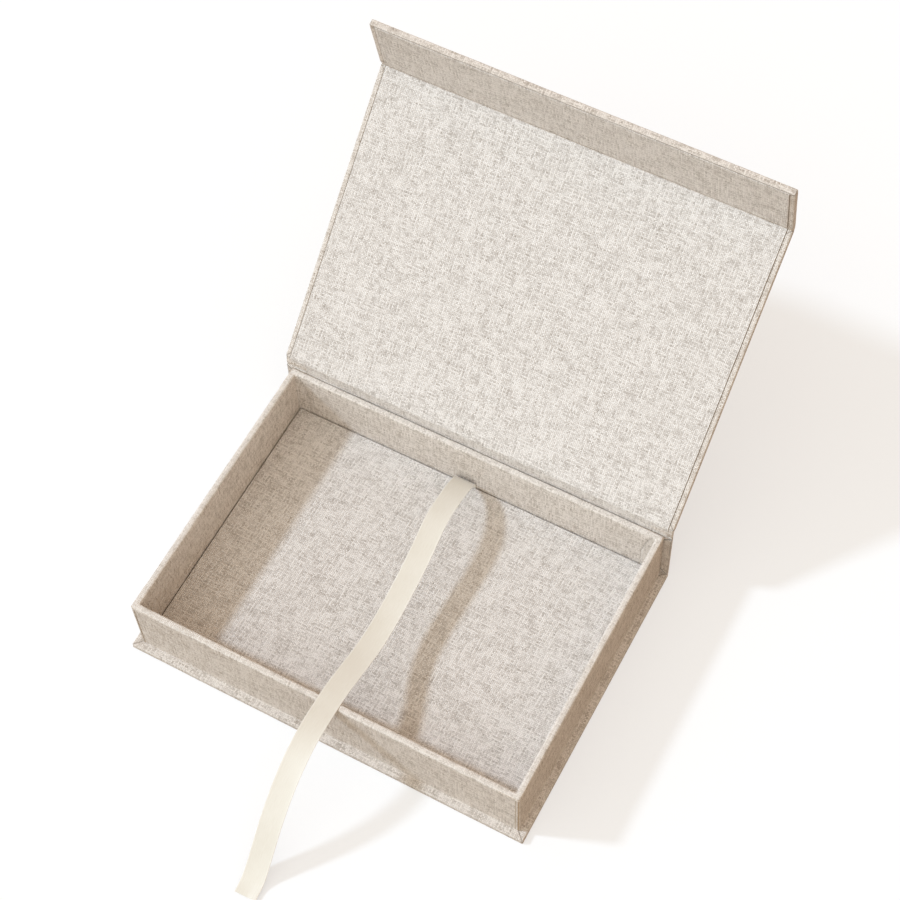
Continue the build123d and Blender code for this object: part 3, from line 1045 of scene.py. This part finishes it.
@dataclass
class Tray(SubAssembly):
    """The four walls, wrapped in one cloth that goes over the rim.

    Attributes:
        corner_radius: The walls' outer corners.
        inner_corner: The cavity's corners.
        fan: How far from a corner the grid starts to turn towards it.
        rim_radius: How round the rim is.
        crown: How far the rim's middle stands above its edges.
        waviness: How far the cloth rises and falls.
        fold_place: Middle of the wrapped fold, in from the corner.
        fold_half_width: Half the fold's width.
        fold_rise: How far it stands proud.
        turn_in_line: Height and distance from the cavity's corner of the turned-in cloth's edge.
        turn_in_step: Thickness of the turned-in cloth that shows.
        seam_sink: How deep the seams beside both are.
        fade: How far under the rim both start to fade, and where they are gone.
        painted_shade_tones: How much painted shade darkens the seams beside the folds, beside the turned-in
            cloth and behind the rim.
        rear_gap_shade: How far under the rim the painted shade of the gap behind it starts, and where it is
            full.
    """

    corner_radius: float = 1.4
    inner_corner: float = 1.0
    fan: float = 16.0
    rim_radius: float = 0.95
    crown: float = 0.16
    waviness: float = 0.07
    fold_place: float = 1.3
    fold_half_width: float = 0.6
    fold_rise: float = 0.16
    turn_in_line: tuple[Place, ...] = (
        (3.0, 6.2), (13.6, 6.3), (26.0, 6.8), (38.2, 4.1), (43.4, 1.8), (45.0, 1.0))
    turn_in_step: float = 0.28
    seam_sink: float = 0.25
    fade: Place = (2.6, 0.8)
    painted_shade_tones: tuple[float, float, float] = (0.6, 0.55, 0.75)
    rear_gap_shade: Place = (1.2, 0.5)

    def ring(self) -> tuple[np.ndarray, np.ndarray, np.ndarray, np.ndarray]:
        """The wall's section, from its outer foot over the rim to its inner foot.

        Returns:
            Share of the way in, height, length along the cloth and wear at each point.
        """
        top, radius = RIM, self.rim_radius
        climb = np.linspace(PANEL, top - radius, 19)
        turn = np.linspace(0, math.pi / 2, 7)[1:]
        flat_rim = np.linspace(radius, PANEL - radius, 5)[1:-1]
        inwards = np.concatenate([np.zeros(19), radius * (1 - np.cos(turn)), flat_rim,
                                  PANEL - radius * (1 - np.cos(turn[::-1])), np.full(19, PANEL)])
        heights = np.concatenate([climb, top - radius * (1 - np.sin(turn)), np.full(3, top),
                                  top - radius * (1 - np.sin(turn[::-1])), climb[::-1]])
        length = lengths_along(np.stack([inwards, heights], axis=1))
        wear = np.clip((heights - (top - radius)) / radius, 0, 1)
        return inwards / PANEL, heights, length, wear

    def stations(self, half_length: float) -> np.ndarray:
        """Places along one wall, closest near its corners."""
        end = half_length - self.corner_radius
        near = [0.0]
        for step, until in ((0.3, 5.0), (0.45, 13.0)):
            while near[-1] < until:
                near.append(near[-1] + step)
        while near[-1] + 1.35 * step < end - 4.5:
            step = min(4.5, 1.35 * step)
            near.append(near[-1] + step)
        middle = np.linspace(near[-1] - end, end - near[-1], 3)[1:-1]
        return np.concatenate([np.array(near) - end, middle, end - np.array(near[::-1])])

    def wall_lines(self) -> list[tuple[np.ndarray, np.ndarray, int]]:
        """The ring's stations in order: outer place, inner place and wall number."""
        found = []
        half = np.array([SIZES.tray_width / 2, SIZES.tray_depth / 2])
        for number in range(4):
            turn = number * math.pi / 2
            ahead = np.array([round(math.cos(turn)), round(math.sin(turn))], float)
            out = np.array([ahead[1], -ahead[0]])
            long_half, out_half = half @ np.abs(ahead), half @ np.abs(out)
            end = long_half - self.corner_radius
            inner_end = long_half - PANEL - self.inner_corner
            for place in self.stations(long_half):
                near_end = max(0.0, abs(place) - (end - self.fan))
                inner = math.copysign(abs(place) - near_end * (end - inner_end) / self.fan, place)
                outer_spot = ahead * place + out * out_half
                found.append((outer_spot, ahead * inner + out * (out_half - PANEL), number))
            centre = ahead * end + out * (out_half - self.corner_radius)
            inner_centre = ahead * inner_end + out * (out_half - PANEL - self.inner_corner)
            for share in np.linspace(0, 1, 11)[1:-1]:
                angle = share * math.pi / 2
                way = out * math.cos(angle) + ahead * math.sin(angle)
                owner = number if share < 0.55 else (number + 1) % 4
                inner_spot = inner_centre + way * self.inner_corner
                found.append((centre + way * self.corner_radius, inner_spot, owner))
        return found

    def skin(self, points: np.ndarray, owner: np.ndarray, ahead: np.ndarray,
             length: np.ndarray) -> tuple[np.ndarray, np.ndarray]:
        """Lay faces between the stations.

        Args:
            points: Places, as a grid of stations by points of the wall's section.
            owner: Each station's wall number.
            ahead: The way that wall runs.
            length: Length along the cloth at each point of the section.

        Returns:
            The faces, and their corners' places on the flat cloth.
        """
        rows, columns = points.shape[:2]
        number = np.arange(rows * columns).reshape(rows, columns)
        after = np.roll(number, -1, axis=0)
        quads, flats = [], []
        for column in range(columns):
            beyond = (column + 1) % columns
            here, there = (number[:, column], after[:, column]), (after[:, beyond], number[:, beyond])
            quad = np.stack([*here, *there], axis=1)
            quads.append(quad)
            u = np.einsum("rcd,rd->rc", points.reshape(-1, 3)[quad][..., :2], ahead) + 260.0 * owner[:, None]
            ends = length[[column, column, beyond, beyond]]
            if beyond == 0:
                ends = length[column] + np.array([0.0, 0.0, PANEL, PANEL])
            flats.append(np.stack([u, np.broadcast_to(ends, u.shape)], axis=-1))
        return np.concatenate(quads), np.concatenate(flats)

    def build(self) -> None:
        """Make the tray's cloth, with its folds and turned-in edges."""
        share, height, length, wear = self.ring()
        outer, inner, owner = [np.array(column) for column in zip(*self.wall_lines())]
        rows, columns = len(owner), len(share)
        points = np.empty((rows, columns, 3))
        points[..., :2] = outer[:, None] + (inner - outer)[:, None] * share[None, :, None]
        points[..., 2] = height
        turn = owner * math.pi / 2
        ahead = np.stack([np.round(np.cos(turn)), np.round(np.sin(turn))], axis=1)
        out = np.stack([ahead[:, 1], -ahead[:, 0]], axis=1)
        along = np.einsum("rcd,rd->rc", points[..., :2], ahead)
        half = np.where(owner % 2 == 0, SIZES.tray_width, SIZES.tray_depth)[:, None] / 2
        from_corner = half - np.abs(along)
        long_wall = (owner % 2 == 0)[:, None]
        outside, inside = long_wall * (share < 0.02)[None, :], long_wall * (share > 0.98)[None, :]
        below_rim = 1 - ramp(height, RIM - self.fade[0], RIM - self.fade[1])[None, :]

        # The wrapped folds outside, and the edge of the turned-in cloth inside.
        edge = np.abs(from_corner - self.fold_place) - self.fold_half_width
        beside_fold = bell(edge - 0.12, 0.2)
        fold = self.fold_rise * (1 - ramp(edge, -0.25, 0.2)) - self.seam_sink * beside_fold
        fold = fold * below_rim * outside
        gap = from_corner - PANEL - np.interp(height, *np.array(self.turn_in_line).T)[None, :]
        tucked = self.turn_in_step * (1 - ramp(gap, -0.3, 0.3)) - self.seam_sink * bell(gap - 0.3, 0.28)
        tucked = tucked * inside * (1 - 0.3 * (1 - below_rim))

        # The cloth's unevenness, and the rim's round back.
        waves = self.waviness * soft_waves(along + 40.0 * owner[:, None], height[None, :], 21, 34.0)
        puff = self.crown * (1 - (2 * share - 1) ** 2) * (height > RIM - 0.5)
        ripple = self.waviness * soft_waves(along + 90.0 * owner[:, None], share[None, :] * 9.0, 23, 17.0)
        ripple *= wear
        way_out = np.where(share < 0.5, 1.0, -1.0)[None, :]
        lift = (fold + tucked + waves) * way_out * (np.abs(share - 0.5) > 0.3)
        points[..., :2] += out[:, None] * lift[..., None]
        points[..., 2] += puff[None, :] + ripple

        # Painted shade: how much each point is darkened beside the folds, beside the turned-in cloth and in
        # the gap behind the rim.
        fold_shade, turned_in_shade, rear_shade = self.painted_shade_tones
        fold_seam_shade = fold_shade * beside_fold * below_rim * outside
        turned_in_seam_shade = turned_in_shade * bell(gap - 0.25, 0.25) * inside * ramp(height, 8.0, 40.0)[None, :]
        in_gap = ramp(height, RIM - self.rear_gap_shade[0], RIM - self.rear_gap_shade[1])
        behind = (owner == 2)[:, None] * (share < 0.3)[None, :] * in_gap
        behind = rear_shade * behind * (1 - ramp(share, 0.03, 0.12))[None, :]
        seam = np.maximum(np.maximum(fold_seam_shade, turned_in_seam_shade), behind)

        quads, flats = self.skin(points, owner, ahead, length)
        worn = np.tile(wear, (rows, 1)) * (1 - seam)
        shell = Shell(points.reshape(-1, 3), quads, flats, worn.ravel(), seam.ravel())
        self.add(shell, "tray_cloth", Slot.OUTER_LINEN, Body.ROOT, ("tray_wrap",))


@dataclass
class PaddedFloor(SubAssembly):
    """The tray's floor: a card wrapped in lining linen, on a foam pad.

    Attributes:
        edge_radius: The wrapped card's edges.
        softness: How far the cloth rises and falls.
        recess_half_width: Half the ribbon's recess in the pad.
        recess_middle: Where the recess is, across the box.
        recess_length: How far the recess reaches in from the back.
        recess_depth: How deep the recess is.
        recess_slope: Half the width of its sloping sides.
    """

    edge_radius: float = 0.6
    softness: float = 0.09
    recess_half_width: float = 8.0
    recess_middle: float = -3.4
    recess_length: float = 26.0
    recess_depth: float = 0.3
    recess_slope: float = 0.4

    def build(self) -> None:
        """Make the wrapped card and the pad under it."""
        margin = PANEL + SIZES.floor_gap
        half_width, half_depth = SIZES.tray_width / 2 - margin, SIZES.tray_depth / 2 - margin
        underside = PANEL + SIZES.cloth + SIZES.board + SIZES.pad_thickness
        top = underside + 2 * SIZES.cloth + SIZES.floor_card
        shell, way = rounded_slab((-half_width, -half_depth, underside), (half_width, half_depth, top),
                                  self.edge_radius, 0.5, 3.0)
        across, along = shell.points[:, 0], shell.points[:, 1]
        inland = ramp(np.minimum(half_width - np.abs(across), half_depth - np.abs(along)), 0.0, 9.0)
        waves = self.softness * soft_waves(across, along, 31, 46.0)
        ripple = 0.05 * soft_waves(across, along, 33, 15.0) * (1 - inland)
        shell.points[:, 2] += (way[:, 2] > 0.3) * (waves * inland + ripple)
        self.add(shell, "floor_cloth", Slot.LINING_LINEN, Body.ROOT, ("floor_liner_cloth",))

        low, high = [tuple(value / MM for value in corner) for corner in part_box("floor_pad")]
        shell, way = rounded_slab(low, high, 0.5, 0.5, 2.0)
        across, along = shell.points[:, 0], shell.points[:, 1]
        side, slope, front = self.recess_half_width, self.recess_slope, half_depth - self.recess_length
        in_recess = 1 - ramp(np.abs(across - self.recess_middle), side - slope, side + slope)
        in_recess *= ramp(along, front - slope, front + slope)
        cells = 0.05 * soft_waves(across, along, 35, 6.0)
        shell.points[:, 2] += (way[:, 2] > 0.5) * (cells - 0.06 - (self.recess_depth - 0.05) * in_recess)
        pad = self.add(shell, "foam_pad", Slot.PAD_FOAM, Body.ROOT, ("floor_pad",))


@dataclass
class OutsideCloth(SubAssembly):
    """The one cloth that goes up the spine, over the hinge, along the lid and over the flap.

    Attributes:
        proud: How far it stands out from the wrapped boards.
        sunk: How far it reaches into them.
        inset: How far its edges stay inside the panels' ends.
        lowest: Where it starts above the table.
        seam: How far before the fold the two strips meet.
        hinge_packing: Turned-in cloth between spine and lid: lengths from the hinge line, and its depth.
        fold_packing: The same between lid and flap, from the fold line.
        hinge_bend: How far from the hinge line its bend starts.
        fold_bend: How far from the fold line its bend starts.
        hinge_reach: How far from the hinge line the given bend reaches on both sides.
        fold_reach: How far from the fold line the given bend reaches on both sides.
    """

    proud: float = 0.05
    sunk: float = 0.2
    inset: float = 0.75
    lowest: float = 0.9
    seam: float = 4.0
    hinge_packing: tuple[Place, ...] = (
        (-5.2, 0.0), (-4.3, 1.1), (-2.5, 1.3), (0.0, 1.5), (1.2, 3.1), (3.0, 0.0))
    fold_packing: tuple[Place, ...] = ((-3.4, 0.0), (-1.6, 2.9), (0.0, 2.5), (4.2, 3.2), (6.0, 0.0))
    hinge_bend: float = 0.6
    fold_bend: float = 2.4
    hinge_reach: float = 0.9
    fold_reach: float = 1.8

    def strip(self, corners: list[Place], bend: float, packing: tuple[Place, ...], seed: int) -> ClothStrip:
        """One strip of the cloth.

        Args:
            corners: Its two ends with its corner between them, in (y, z).
            bend: How far from the corner its arc starts.
            packing: Lengths from the corner, and how deep turned-in cloth lies there.
            seed: Which unevenness.

        Returns:
            The strip.
        """
        line = rounded_route(corners, bend)
        nearest = int(np.argmin(np.linalg.norm(line - np.array(corners[1]), axis=1)))
        before = float(lengths_along(line)[nearest])
        packed = tuple((before + place, depth) for place, depth in packing)
        return ClothStrip(line, HALF_WIDTH - self.inset, self.sunk, -self.proud, seed, 0.02, packed=packed)

    def build(self) -> None:
        """Make both strips."""
        seam = LID_FRAME.point(LID_LENGTH - self.seam)
        back = self.strip([(CASE_BACK, self.lowest), HINGE, seam], self.hinge_bend, self.hinge_packing, 41)
        bend = ((HINGE[0], HINGE[1] - self.hinge_reach), LID_FRAME.point(self.hinge_reach))
        self.add_strip(back, "back_cloth", Slot.OUTER_LINEN, (Body.ROOT, Body.LID), bend, "stretched",
                       ["spine_cloth", "lid_cloth"])
        tip = FLAP_FRAME.point(SIZES.flap_length - self.inset)
        fold = self.strip([seam, FLAP_FRAME.origin, tip], self.fold_bend, self.fold_packing, 43)
        bend = (LID_FRAME.point(LID_LENGTH - self.fold_reach), FLAP_FRAME.point(self.fold_reach))
        self.add_strip(fold, "fold_cloth", Slot.OUTER_LINEN, (Body.LID, Body.FLAP), bend, "stretched",
                       ["flap_cloth"])


@dataclass
class Linings(SubAssembly):
    """The lid's lining, which starts behind the rim, and the flap's lining, which starts in the fold.

    Attributes:
        groove: Where the lid's lining comes out between tray and spine.
        groove_shade: Lengths along it, and how much painted shade darkens it there, down in the gap.
        crease_shade: The same painted shade for the fold between lid and flap.
        ridge: How far from the lid's near edge its bend starts.
        hinge_bend: Where the given bend starts and ends, from the hinge line.
        sunk: How far the linings reach into the panels.
        unevenness: How far they rise and fall.
        crease_depth: How far the lining dips between lid and flap.
        crease_bend: How softly it dips.
        free_inset: From the flap's free edge to its lining.
    """

    groove: tuple[Place, ...] = ((80.95, 42.0), (80.95, 45.8), (80.85, 50.2))
    groove_shade: tuple[Place, ...] = ((0.0, 1.0), (2.1, 1.0), (2.5, 0.1), (3.0, 0.0))
    crease_shade: tuple[Place, ...] = ((0.0, 0.2), (1.0, 0.35), (2.4, 0.0))
    ridge: float = 2.0
    hinge_bend: tuple[Place, Place] = ((-3.0, -4.4), (1.6, 0.2))
    sunk: float = 0.08
    unevenness: float = 0.03
    crease_depth: float = 0.8
    crease_bend: float = 0.8
    free_inset: float = 1.0

    def build(self) -> None:
        """Make both linings."""
        lid_end = LID_FRAME.point(LID_LENGTH - SLAB_SETBACK, PANEL)
        line = rounded_route([*self.groove, LID_FRAME.point(SLAB_SETBACK + 0.2, PANEL), lid_end], self.ridge)
        strip = ClothStrip(line, LINING_HALF, SIZES.cloth, -self.sunk, 45, self.unevenness,
                           shaded=self.groove_shade)
        bend = tuple((HINGE[0] + y, HINGE[1] + z) for y, z in self.hinge_bend)
        self.add_strip(strip, "lid_lining", Slot.LINING_LINEN, (Body.ROOT, Body.LID), bend, "laid",
                       ["lid_cloth"], ("lid_liner", "hinge_lining"))

        near = FLAP_FRAME.point(FLAP_SETBACK, PANEL)
        dip = (np.array(lid_end) + np.array(near)) / 2
        towards = np.array(FLAP_FRAME.origin) - dip
        dip += towards / np.linalg.norm(towards) * self.crease_depth
        tip = FLAP_FRAME.point(SIZES.flap_length - self.free_inset, PANEL)
        line = rounded_route([lid_end, tuple(dip), near, tip], self.crease_bend)
        strip = ClothStrip(line, LINING_HALF, SIZES.cloth, -self.sunk, 47, self.unevenness, slack_ends=True,
                           shaded=self.crease_shade)
        self.add_strip(strip, "flap_lining", Slot.LINING_LINEN, (Body.LID, Body.FLAP), (lid_end, near),
                       "laid", ["flap_cloth"], ("flap_liner", "fold_lining"))


def smooth_curve(knots: np.ndarray, first_way: np.ndarray, step: float) -> np.ndarray:
    """A smooth curve through knots.

    Args:
        knots: The places it goes through.
        first_way: The way it sets out.
        step: Point spacing along it.

    Returns:
        The curve's points.
    """
    place = lengths_along(knots)
    chord = np.diff(place)
    count = len(knots)
    matrix, wanted = np.zeros((count, count)), np.zeros((count, 3))
    slope = np.diff(knots, axis=0) / chord[:, None]
    matrix[0, :2] = 2 * chord[0], chord[0]
    wanted[0] = 6 * (slope[0] - first_way)
    for k in range(1, count - 1):
        matrix[k, k - 1:k + 2] = chord[k - 1], 2 * (chord[k - 1] + chord[k]), chord[k]
        wanted[k] = 6 * (slope[k] - slope[k - 1])
    matrix[-1, -1] = 1.0
    bend = np.linalg.solve(matrix, wanted)
    found = []
    for at in np.linspace(0, place[-1], math.ceil(place[-1] / step) + 1):
        k = min(int(np.searchsorted(place, at, side="right")) - 1, count - 2)
        h, left, right = chord[k], place[k + 1] - at, at - place[k]
        straight = (knots[k] / h - bend[k] * h / 6) * left + (knots[k + 1] / h - bend[k + 1] * h / 6) * right
        found.append((bend[k] * left**3 + bend[k + 1] * right**3) / (6 * h) + straight)
    return np.array(found)


@dataclass
class Ribbon(SubAssembly):
    """The satin ribbon: glued under the floor, sprung over it, resting on the front rim, ending on the table.

    Attributes:
        width: Its width.
        thickness: Its thickness.
        anchor: How long the glued part is.
        bed: Height of the glued part's middle.
        exit_x: Where it leaves the floor, across the box.
        exit_y: Where it leaves the floor, along the box.
        fold_radius: How tightly it folds up out of the floor.
        knots: The free part's middle line.
        banks: Length along the free part and the ribbon's tilt there, in degrees.
        sections: Places across the ribbon, as shares of half its width.
        bowl: How far its middle stands above its edges.
        curl: How far its end's corner lifts.
        split: Where the part in the tray ends, just outside the front rim.
    """

    width: float = 12.0
    thickness: float = 0.25
    anchor: float = 26.0
    bed: float = 9.72
    exit_x: float = -3.4
    exit_y: float = 76.15
    fold_radius: float = 0.5
    knots: tuple[Spot, ...] = (
        (-3.4, 76.15, 10.3), (-3.2, 75.7, 15.4), (-2.2, 72.6, 21.0), (-1.2, 65.0, 27.9), (-0.4, 52.1, 33.7),
        (0.2, 38.5, 36.4), (1.5, 25.0, 36.0), (2.6, 11.0, 34.6), (3.4, -5.0, 33.3), (4.0, -22.0, 32.7),
        (4.3, -38.0, 34.2), (4.2, -52.0, 38.0), (4.1, -65.0, 42.0), (4.1, -76.5, 44.5), (4.2, -80.3, 45.1),
        (4.5, -88.0, 46.7), (4.8, -97.0, 47.6), (5.1, -108.0, 46.2), (5.4, -120.0, 41.2), (5.7, -131.0, 33.9),
        (6.0, -141.0, 24.8), (6.3, -149.5, 15.6), (6.6, -157.0, 7.4), (6.8, -163.0, 2.6), (7.0, -170.6, 0.5),
    )
    banks: tuple[Place, ...] = (
        (0.0, 0.0), (40.0, 1.0), (90.0, 2.0), (150.0, 0.5), (172.0, 0.0), (210.0, -1.5), (260.0, 0.0))
    sections: tuple[float, ...] = (0.2, 0.45, 0.7, 0.87, 0.9, 0.95, 0.985, 1.0)
    bowl: float = 0.22
    curl: float = 1.1
    split: float = -80.3

    def middle_line(self) -> tuple[np.ndarray, np.ndarray]:
        """The ribbon's middle line from its glued end, and its tilt at each point in radians."""
        turn = np.linspace(0, math.pi / 2, 8)
        radius = self.fold_radius
        bed_y = np.linspace(self.exit_y - self.anchor, self.exit_y - radius, 22)[:-1]
        under = np.concatenate([np.stack([bed_y, np.full(len(bed_y), self.bed)], axis=1),
                                np.stack([self.exit_y - radius + radius * np.sin(turn),
                                          self.bed + radius * (1 - np.cos(turn))], axis=1)])
        under = np.column_stack([np.full(len(under), self.exit_x), under])
        free = smooth_curve(np.array(self.knots), np.array([0.0, 0.0, 1.0]), 1.3)
        degrees = np.interp(lengths_along(free), *np.array(self.banks).T)
        return np.concatenate([under, free]), np.concatenate([np.zeros(len(under)), np.radians(degrees)])

    def build(self) -> None:
        """Make the part in the tray and the part in front of it."""
        line, tilt = self.middle_line()
        ahead = directions(line)
        side = np.array([1.0, 0.0, 0.0]) - ahead * ahead[:, :1]
        side /= np.linalg.norm(side, axis=1)[:, None]
        turned = side * np.cos(tilt)[:, None] + np.cross(side, ahead) * np.sin(tilt)[:, None]
        face = np.cross(turned, ahead)
        length = lengths_along(line)
        last = length[-1] - length
        free = ramp(length, self.anchor + 6.0, self.anchor + 30.0)
        half = self.width / 2
        share = np.array([*(-value for value in self.sections[::-1]), 0.0, *self.sections])
        across = half * share
        bowl = self.bowl * (1 - share**2)[None, :] * free[:, None]
        waves = soft_waves(length[:, None], across[None, :] * 3.0, 61, 30.0)
        flutter = self.bowl * waves * share[None, :] ** 2 * free[:, None]
        rise = (bowl + flutter) * (1 - bell(line[:, 1] + 78.2, 5.0))[:, None] * ramp(last, 0.0, 14.0)[:, None]
        curl = self.curl * bell(last, 5.0)[:, None] * ramp(share, 0.1, 1.0)[None, :]
        edge = half - np.abs(across)
        thick = self.thickness / 2 * (0.5 + 0.5 * ramp(edge, 0.0, 0.12) + 0.16 * bell(edge - 0.35, 0.25))

        def sheet_face(sign: int) -> np.ndarray:
            """One face's places."""
            offset = rise + sign * thick[None, :]
            spots = line[:, None] + turned[:, None] * across[None, :, None]
            spots += face[:, None] * offset[..., None]
            spots[..., 2] += curl
            return spots

        top, bottom = sheet_face(1), sheet_face(-1)
        flat = np.stack(np.broadcast_arrays(across[None, :], length[:, None]), axis=-1)
        plain = np.zeros(top.shape[:2])
        cut = int(np.argmax(line[:, 1] < self.split))
        parts = (("ribbon_run", slice(0, cut + 1), length[cut], ["tray_cloth", "foam_pad"]),
                 ("ribbon_tail", slice(cut, None), last[cut], ["tray_cloth"]))
        for name, part, reach, rests_on in parts:
            shell = strip_shell(top[part], bottom[part], flat[part], plain[part], plain[part])
            piece = self.add(shell, name, Slot.SATIN, Body.ROOT, ("ribbon",))
            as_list(rests_on)
        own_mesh(piece)
        log.info("ribbon: %.1f mm in all", length[-1])


@dataclass
class InsideParts:
    """The boards, card, tapes and magnets inside the cloth, which keep the shapes of their solids."""

    boards: tuple[str, ...] = ("base_board", "spine_board", "lid_board", "flap_board", "tray_bottom_board",
                               "tray_front_board", "tray_rear_board", "tray_left_board", "tray_right_board")
    tapes: tuple[str, ...] = ("corner_stays",)
    magnets: tuple[str, ...] = ("tray_magnets", "flap_magnets")
    cards: tuple[str, ...] = ("floor_liner_card",)

    def dress(self, materials: dict[Slot, bpy.types.Material]) -> None:
        """Give each its detailed material."""
        kinds = ((self.boards, materials[Slot.GREYBOARD]), (self.tapes, materials[Slot.PAPER_TAPE]),
                 (self.magnets, materials[Slot.MAGNET]), (self.cards, FLOOR_CARD.material()))
        for nodes, material in kinds:
            for node in nodes:
                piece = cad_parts[node]
                if not piece.material_slots:
                    piece.data.materials.append(material)
                for slot in piece.material_slots:
                    slot.link = "OBJECT"
                    slot.material = material
                log.info("%s keeps its solid", node)


# ---------------------------------------------------------------- studio


@dataclass(frozen=True)
class Lamp:
    """A far lamp: the way its light goes, its strength, its colour and how broad it is, in degrees."""

    name: str
    way: Spot
    strength: float
    colour: Colour
    angle: float


@dataclass
class Studio:
    """Floor, light and camera.

    Attributes:
        floor_half: Half the floor's side, in metres.
        floor_seen: The floor's own colour as it is seen.
        floor_glow: The light that the seen floor adds, so that only a faint shadow stays on it.
        floor_bounce: The colour that it throws back at the box.
        sky: The light from all round.
        sky_strength: How strong that is.
        lamps: The window's light and the broad light opposite the shade.
        azimuth: The camera's place round the box, in degrees.
        elevation: The camera's height over the table, in degrees.
        roll: The camera's tilt, in degrees.
        camera_place: Where it stands, in millimetres.
        focal_pixels: Its focal length in pixels of the image.
        centre_pixel: Where its axis meets the image.
    """

    floor_half: float = 3.0
    floor_seen: Colour = (0.45, 0.45, 0.45)
    floor_glow: Colour = (0.55, 0.55, 0.55)
    floor_bounce: Colour = (0.38, 0.29, 0.21)
    sky: Colour = (1.0, 0.80, 0.62)
    sky_strength: float = 0.66
    lamps: tuple[Lamp, ...] = (
        Lamp("window_light", (1.05, 0.4, -1.0), 1.9, (0.67, 0.82, 1.0), 5.0),
        Lamp("fill_light", (0.25, 0.9, -0.4), 1.4, (0.72, 0.92, 1.0), 110.0),
    )
    azimuth: float = 30.312
    elevation: float = 59.567
    roll: float = -2.361
    camera_place: Spot = (268.90, -389.56, 984.84)
    focal_pixels: float = 2080.31
    centre_pixel: Place = (463.85, 431.24)

    def build_floor(self) -> None:
        """Make the plain floor, pale to the camera and a little warmer to the box."""
        mesh = bpy.data.meshes.new("studio_floor")
        side = self.floor_half
        corners = [(-side, -side, 0), (side, -side, 0), (side, side, 0), (-side, side, 0)]
        mesh.from_pydata(corners, [], [(0, 1, 2, 3)])
        floor = bpy.data.objects.new("studio_floor", mesh)
        bpy.context.scene.collection.objects.link(floor)
        material = bpy.data.materials.new("studio_floor")
        material.use_nodes = True
        sheet = NodeSheet(material.node_tree)
        path = sheet.node("LightPath")
        rays = [sheet.out(path, f"Is {kind} Ray") for kind in ("Camera", "Glossy", "Transmission")]
        seen = rays[0].math("MAXIMUM", rays[1].math("MAXIMUM", rays[2]))
        sheet.wire(material.node_tree.nodes["Principled BSDF"], {
            "Base Color": sheet.mixed(seen, self.floor_bounce, self.floor_seen),
            "Emission Color": sheet.mixed(seen, (0.0, 0.0, 0.0), self.floor_glow),
            "Emission Strength": 1.0,
            "Roughness": 1.0,
            "Specular IOR Level": 0.0,
        })
        mesh.materials.append(material)

    def build_lights(self) -> None:
        """Make the lamps and the light from all round."""
        for lamp in self.lamps:
            light = bpy.data.lights.new(lamp.name, "SUN")
            light.energy = lamp.strength
            light.color = lamp.colour
            light.angle = math.radians(lamp.angle)
            placed = bpy.data.objects.new(lamp.name, light)
            placed.rotation_mode = "QUATERNION"
            placed.rotation_quaternion = Vector(lamp.way).to_track_quat("-Z", "Y")
            bpy.context.scene.collection.objects.link(placed)
        world = bpy.data.worlds.new("room_light")
        world.use_nodes = True
        background = world.node_tree.nodes["Background"]
        background.inputs["Color"].default_value = (*self.sky, 1)
        background.inputs["Strength"].default_value = self.sky_strength
        bpy.context.scene.world = world

    def build_camera(self) -> None:
        """Make the camera at the photograph's angle."""
        data = bpy.data.cameras.new("camera")
        data.sensor_width = SENSOR_WIDTH
        data.lens = self.focal_pixels / IMAGE_SIDE * SENSOR_WIDTH
        data.shift_x = (0.5 * IMAGE_SIDE - self.centre_pixel[0]) / IMAGE_SIDE
        data.shift_y = (self.centre_pixel[1] - 0.5 * IMAGE_SIDE) / IMAGE_SIDE
        data.clip_start, data.clip_end = 0.05, 20.0
        camera = bpy.data.objects.new("camera", data)
        azimuth, elevation, roll = (math.radians(v) for v in (self.azimuth, self.elevation, self.roll))
        level = Vector((math.cos(azimuth), math.sin(azimuth), 0.0))
        ahead = Vector((-level.y * math.cos(elevation), level.x * math.cos(elevation), -math.sin(elevation)))
        upright = level.cross(ahead)
        right = level * math.cos(roll) + upright * math.sin(roll)
        top = upright * math.cos(roll) - level * math.sin(roll)
        turn = Matrix((right, top, -ahead)).transposed().to_4x4()
        camera.matrix_world = Matrix.Translation(Vector(self.camera_place) * MM) @ turn
        bpy.context.scene.collection.objects.link(camera)
        bpy.context.scene.camera = camera

    def build(self) -> None:
        """Make floor, lights and camera."""
        self.build_floor()
        self.build_lights()
        self.build_camera()
        bpy.context.scene.view_settings.view_transform = "Standard"


# ---------------------------------------------------------------- all together


def main() -> None:
    """Build each sub-assembly, dress it, and set up the studio."""
    logging.basicConfig(level=logging.INFO, format="%(message)s")
    Studio().build()
    materials = {slot: finish.material() for slot, finish in FINISHES.items()}
    for part in (Base(), Spine(), Tray(), PaddedFloor(), Lid(), Flap(), OutsideCloth(), Linings(), Ribbon()):
        part.build()
        part.dress(materials)
    InsideParts().dress(materials)


if __name__ == "__main__":
    main()
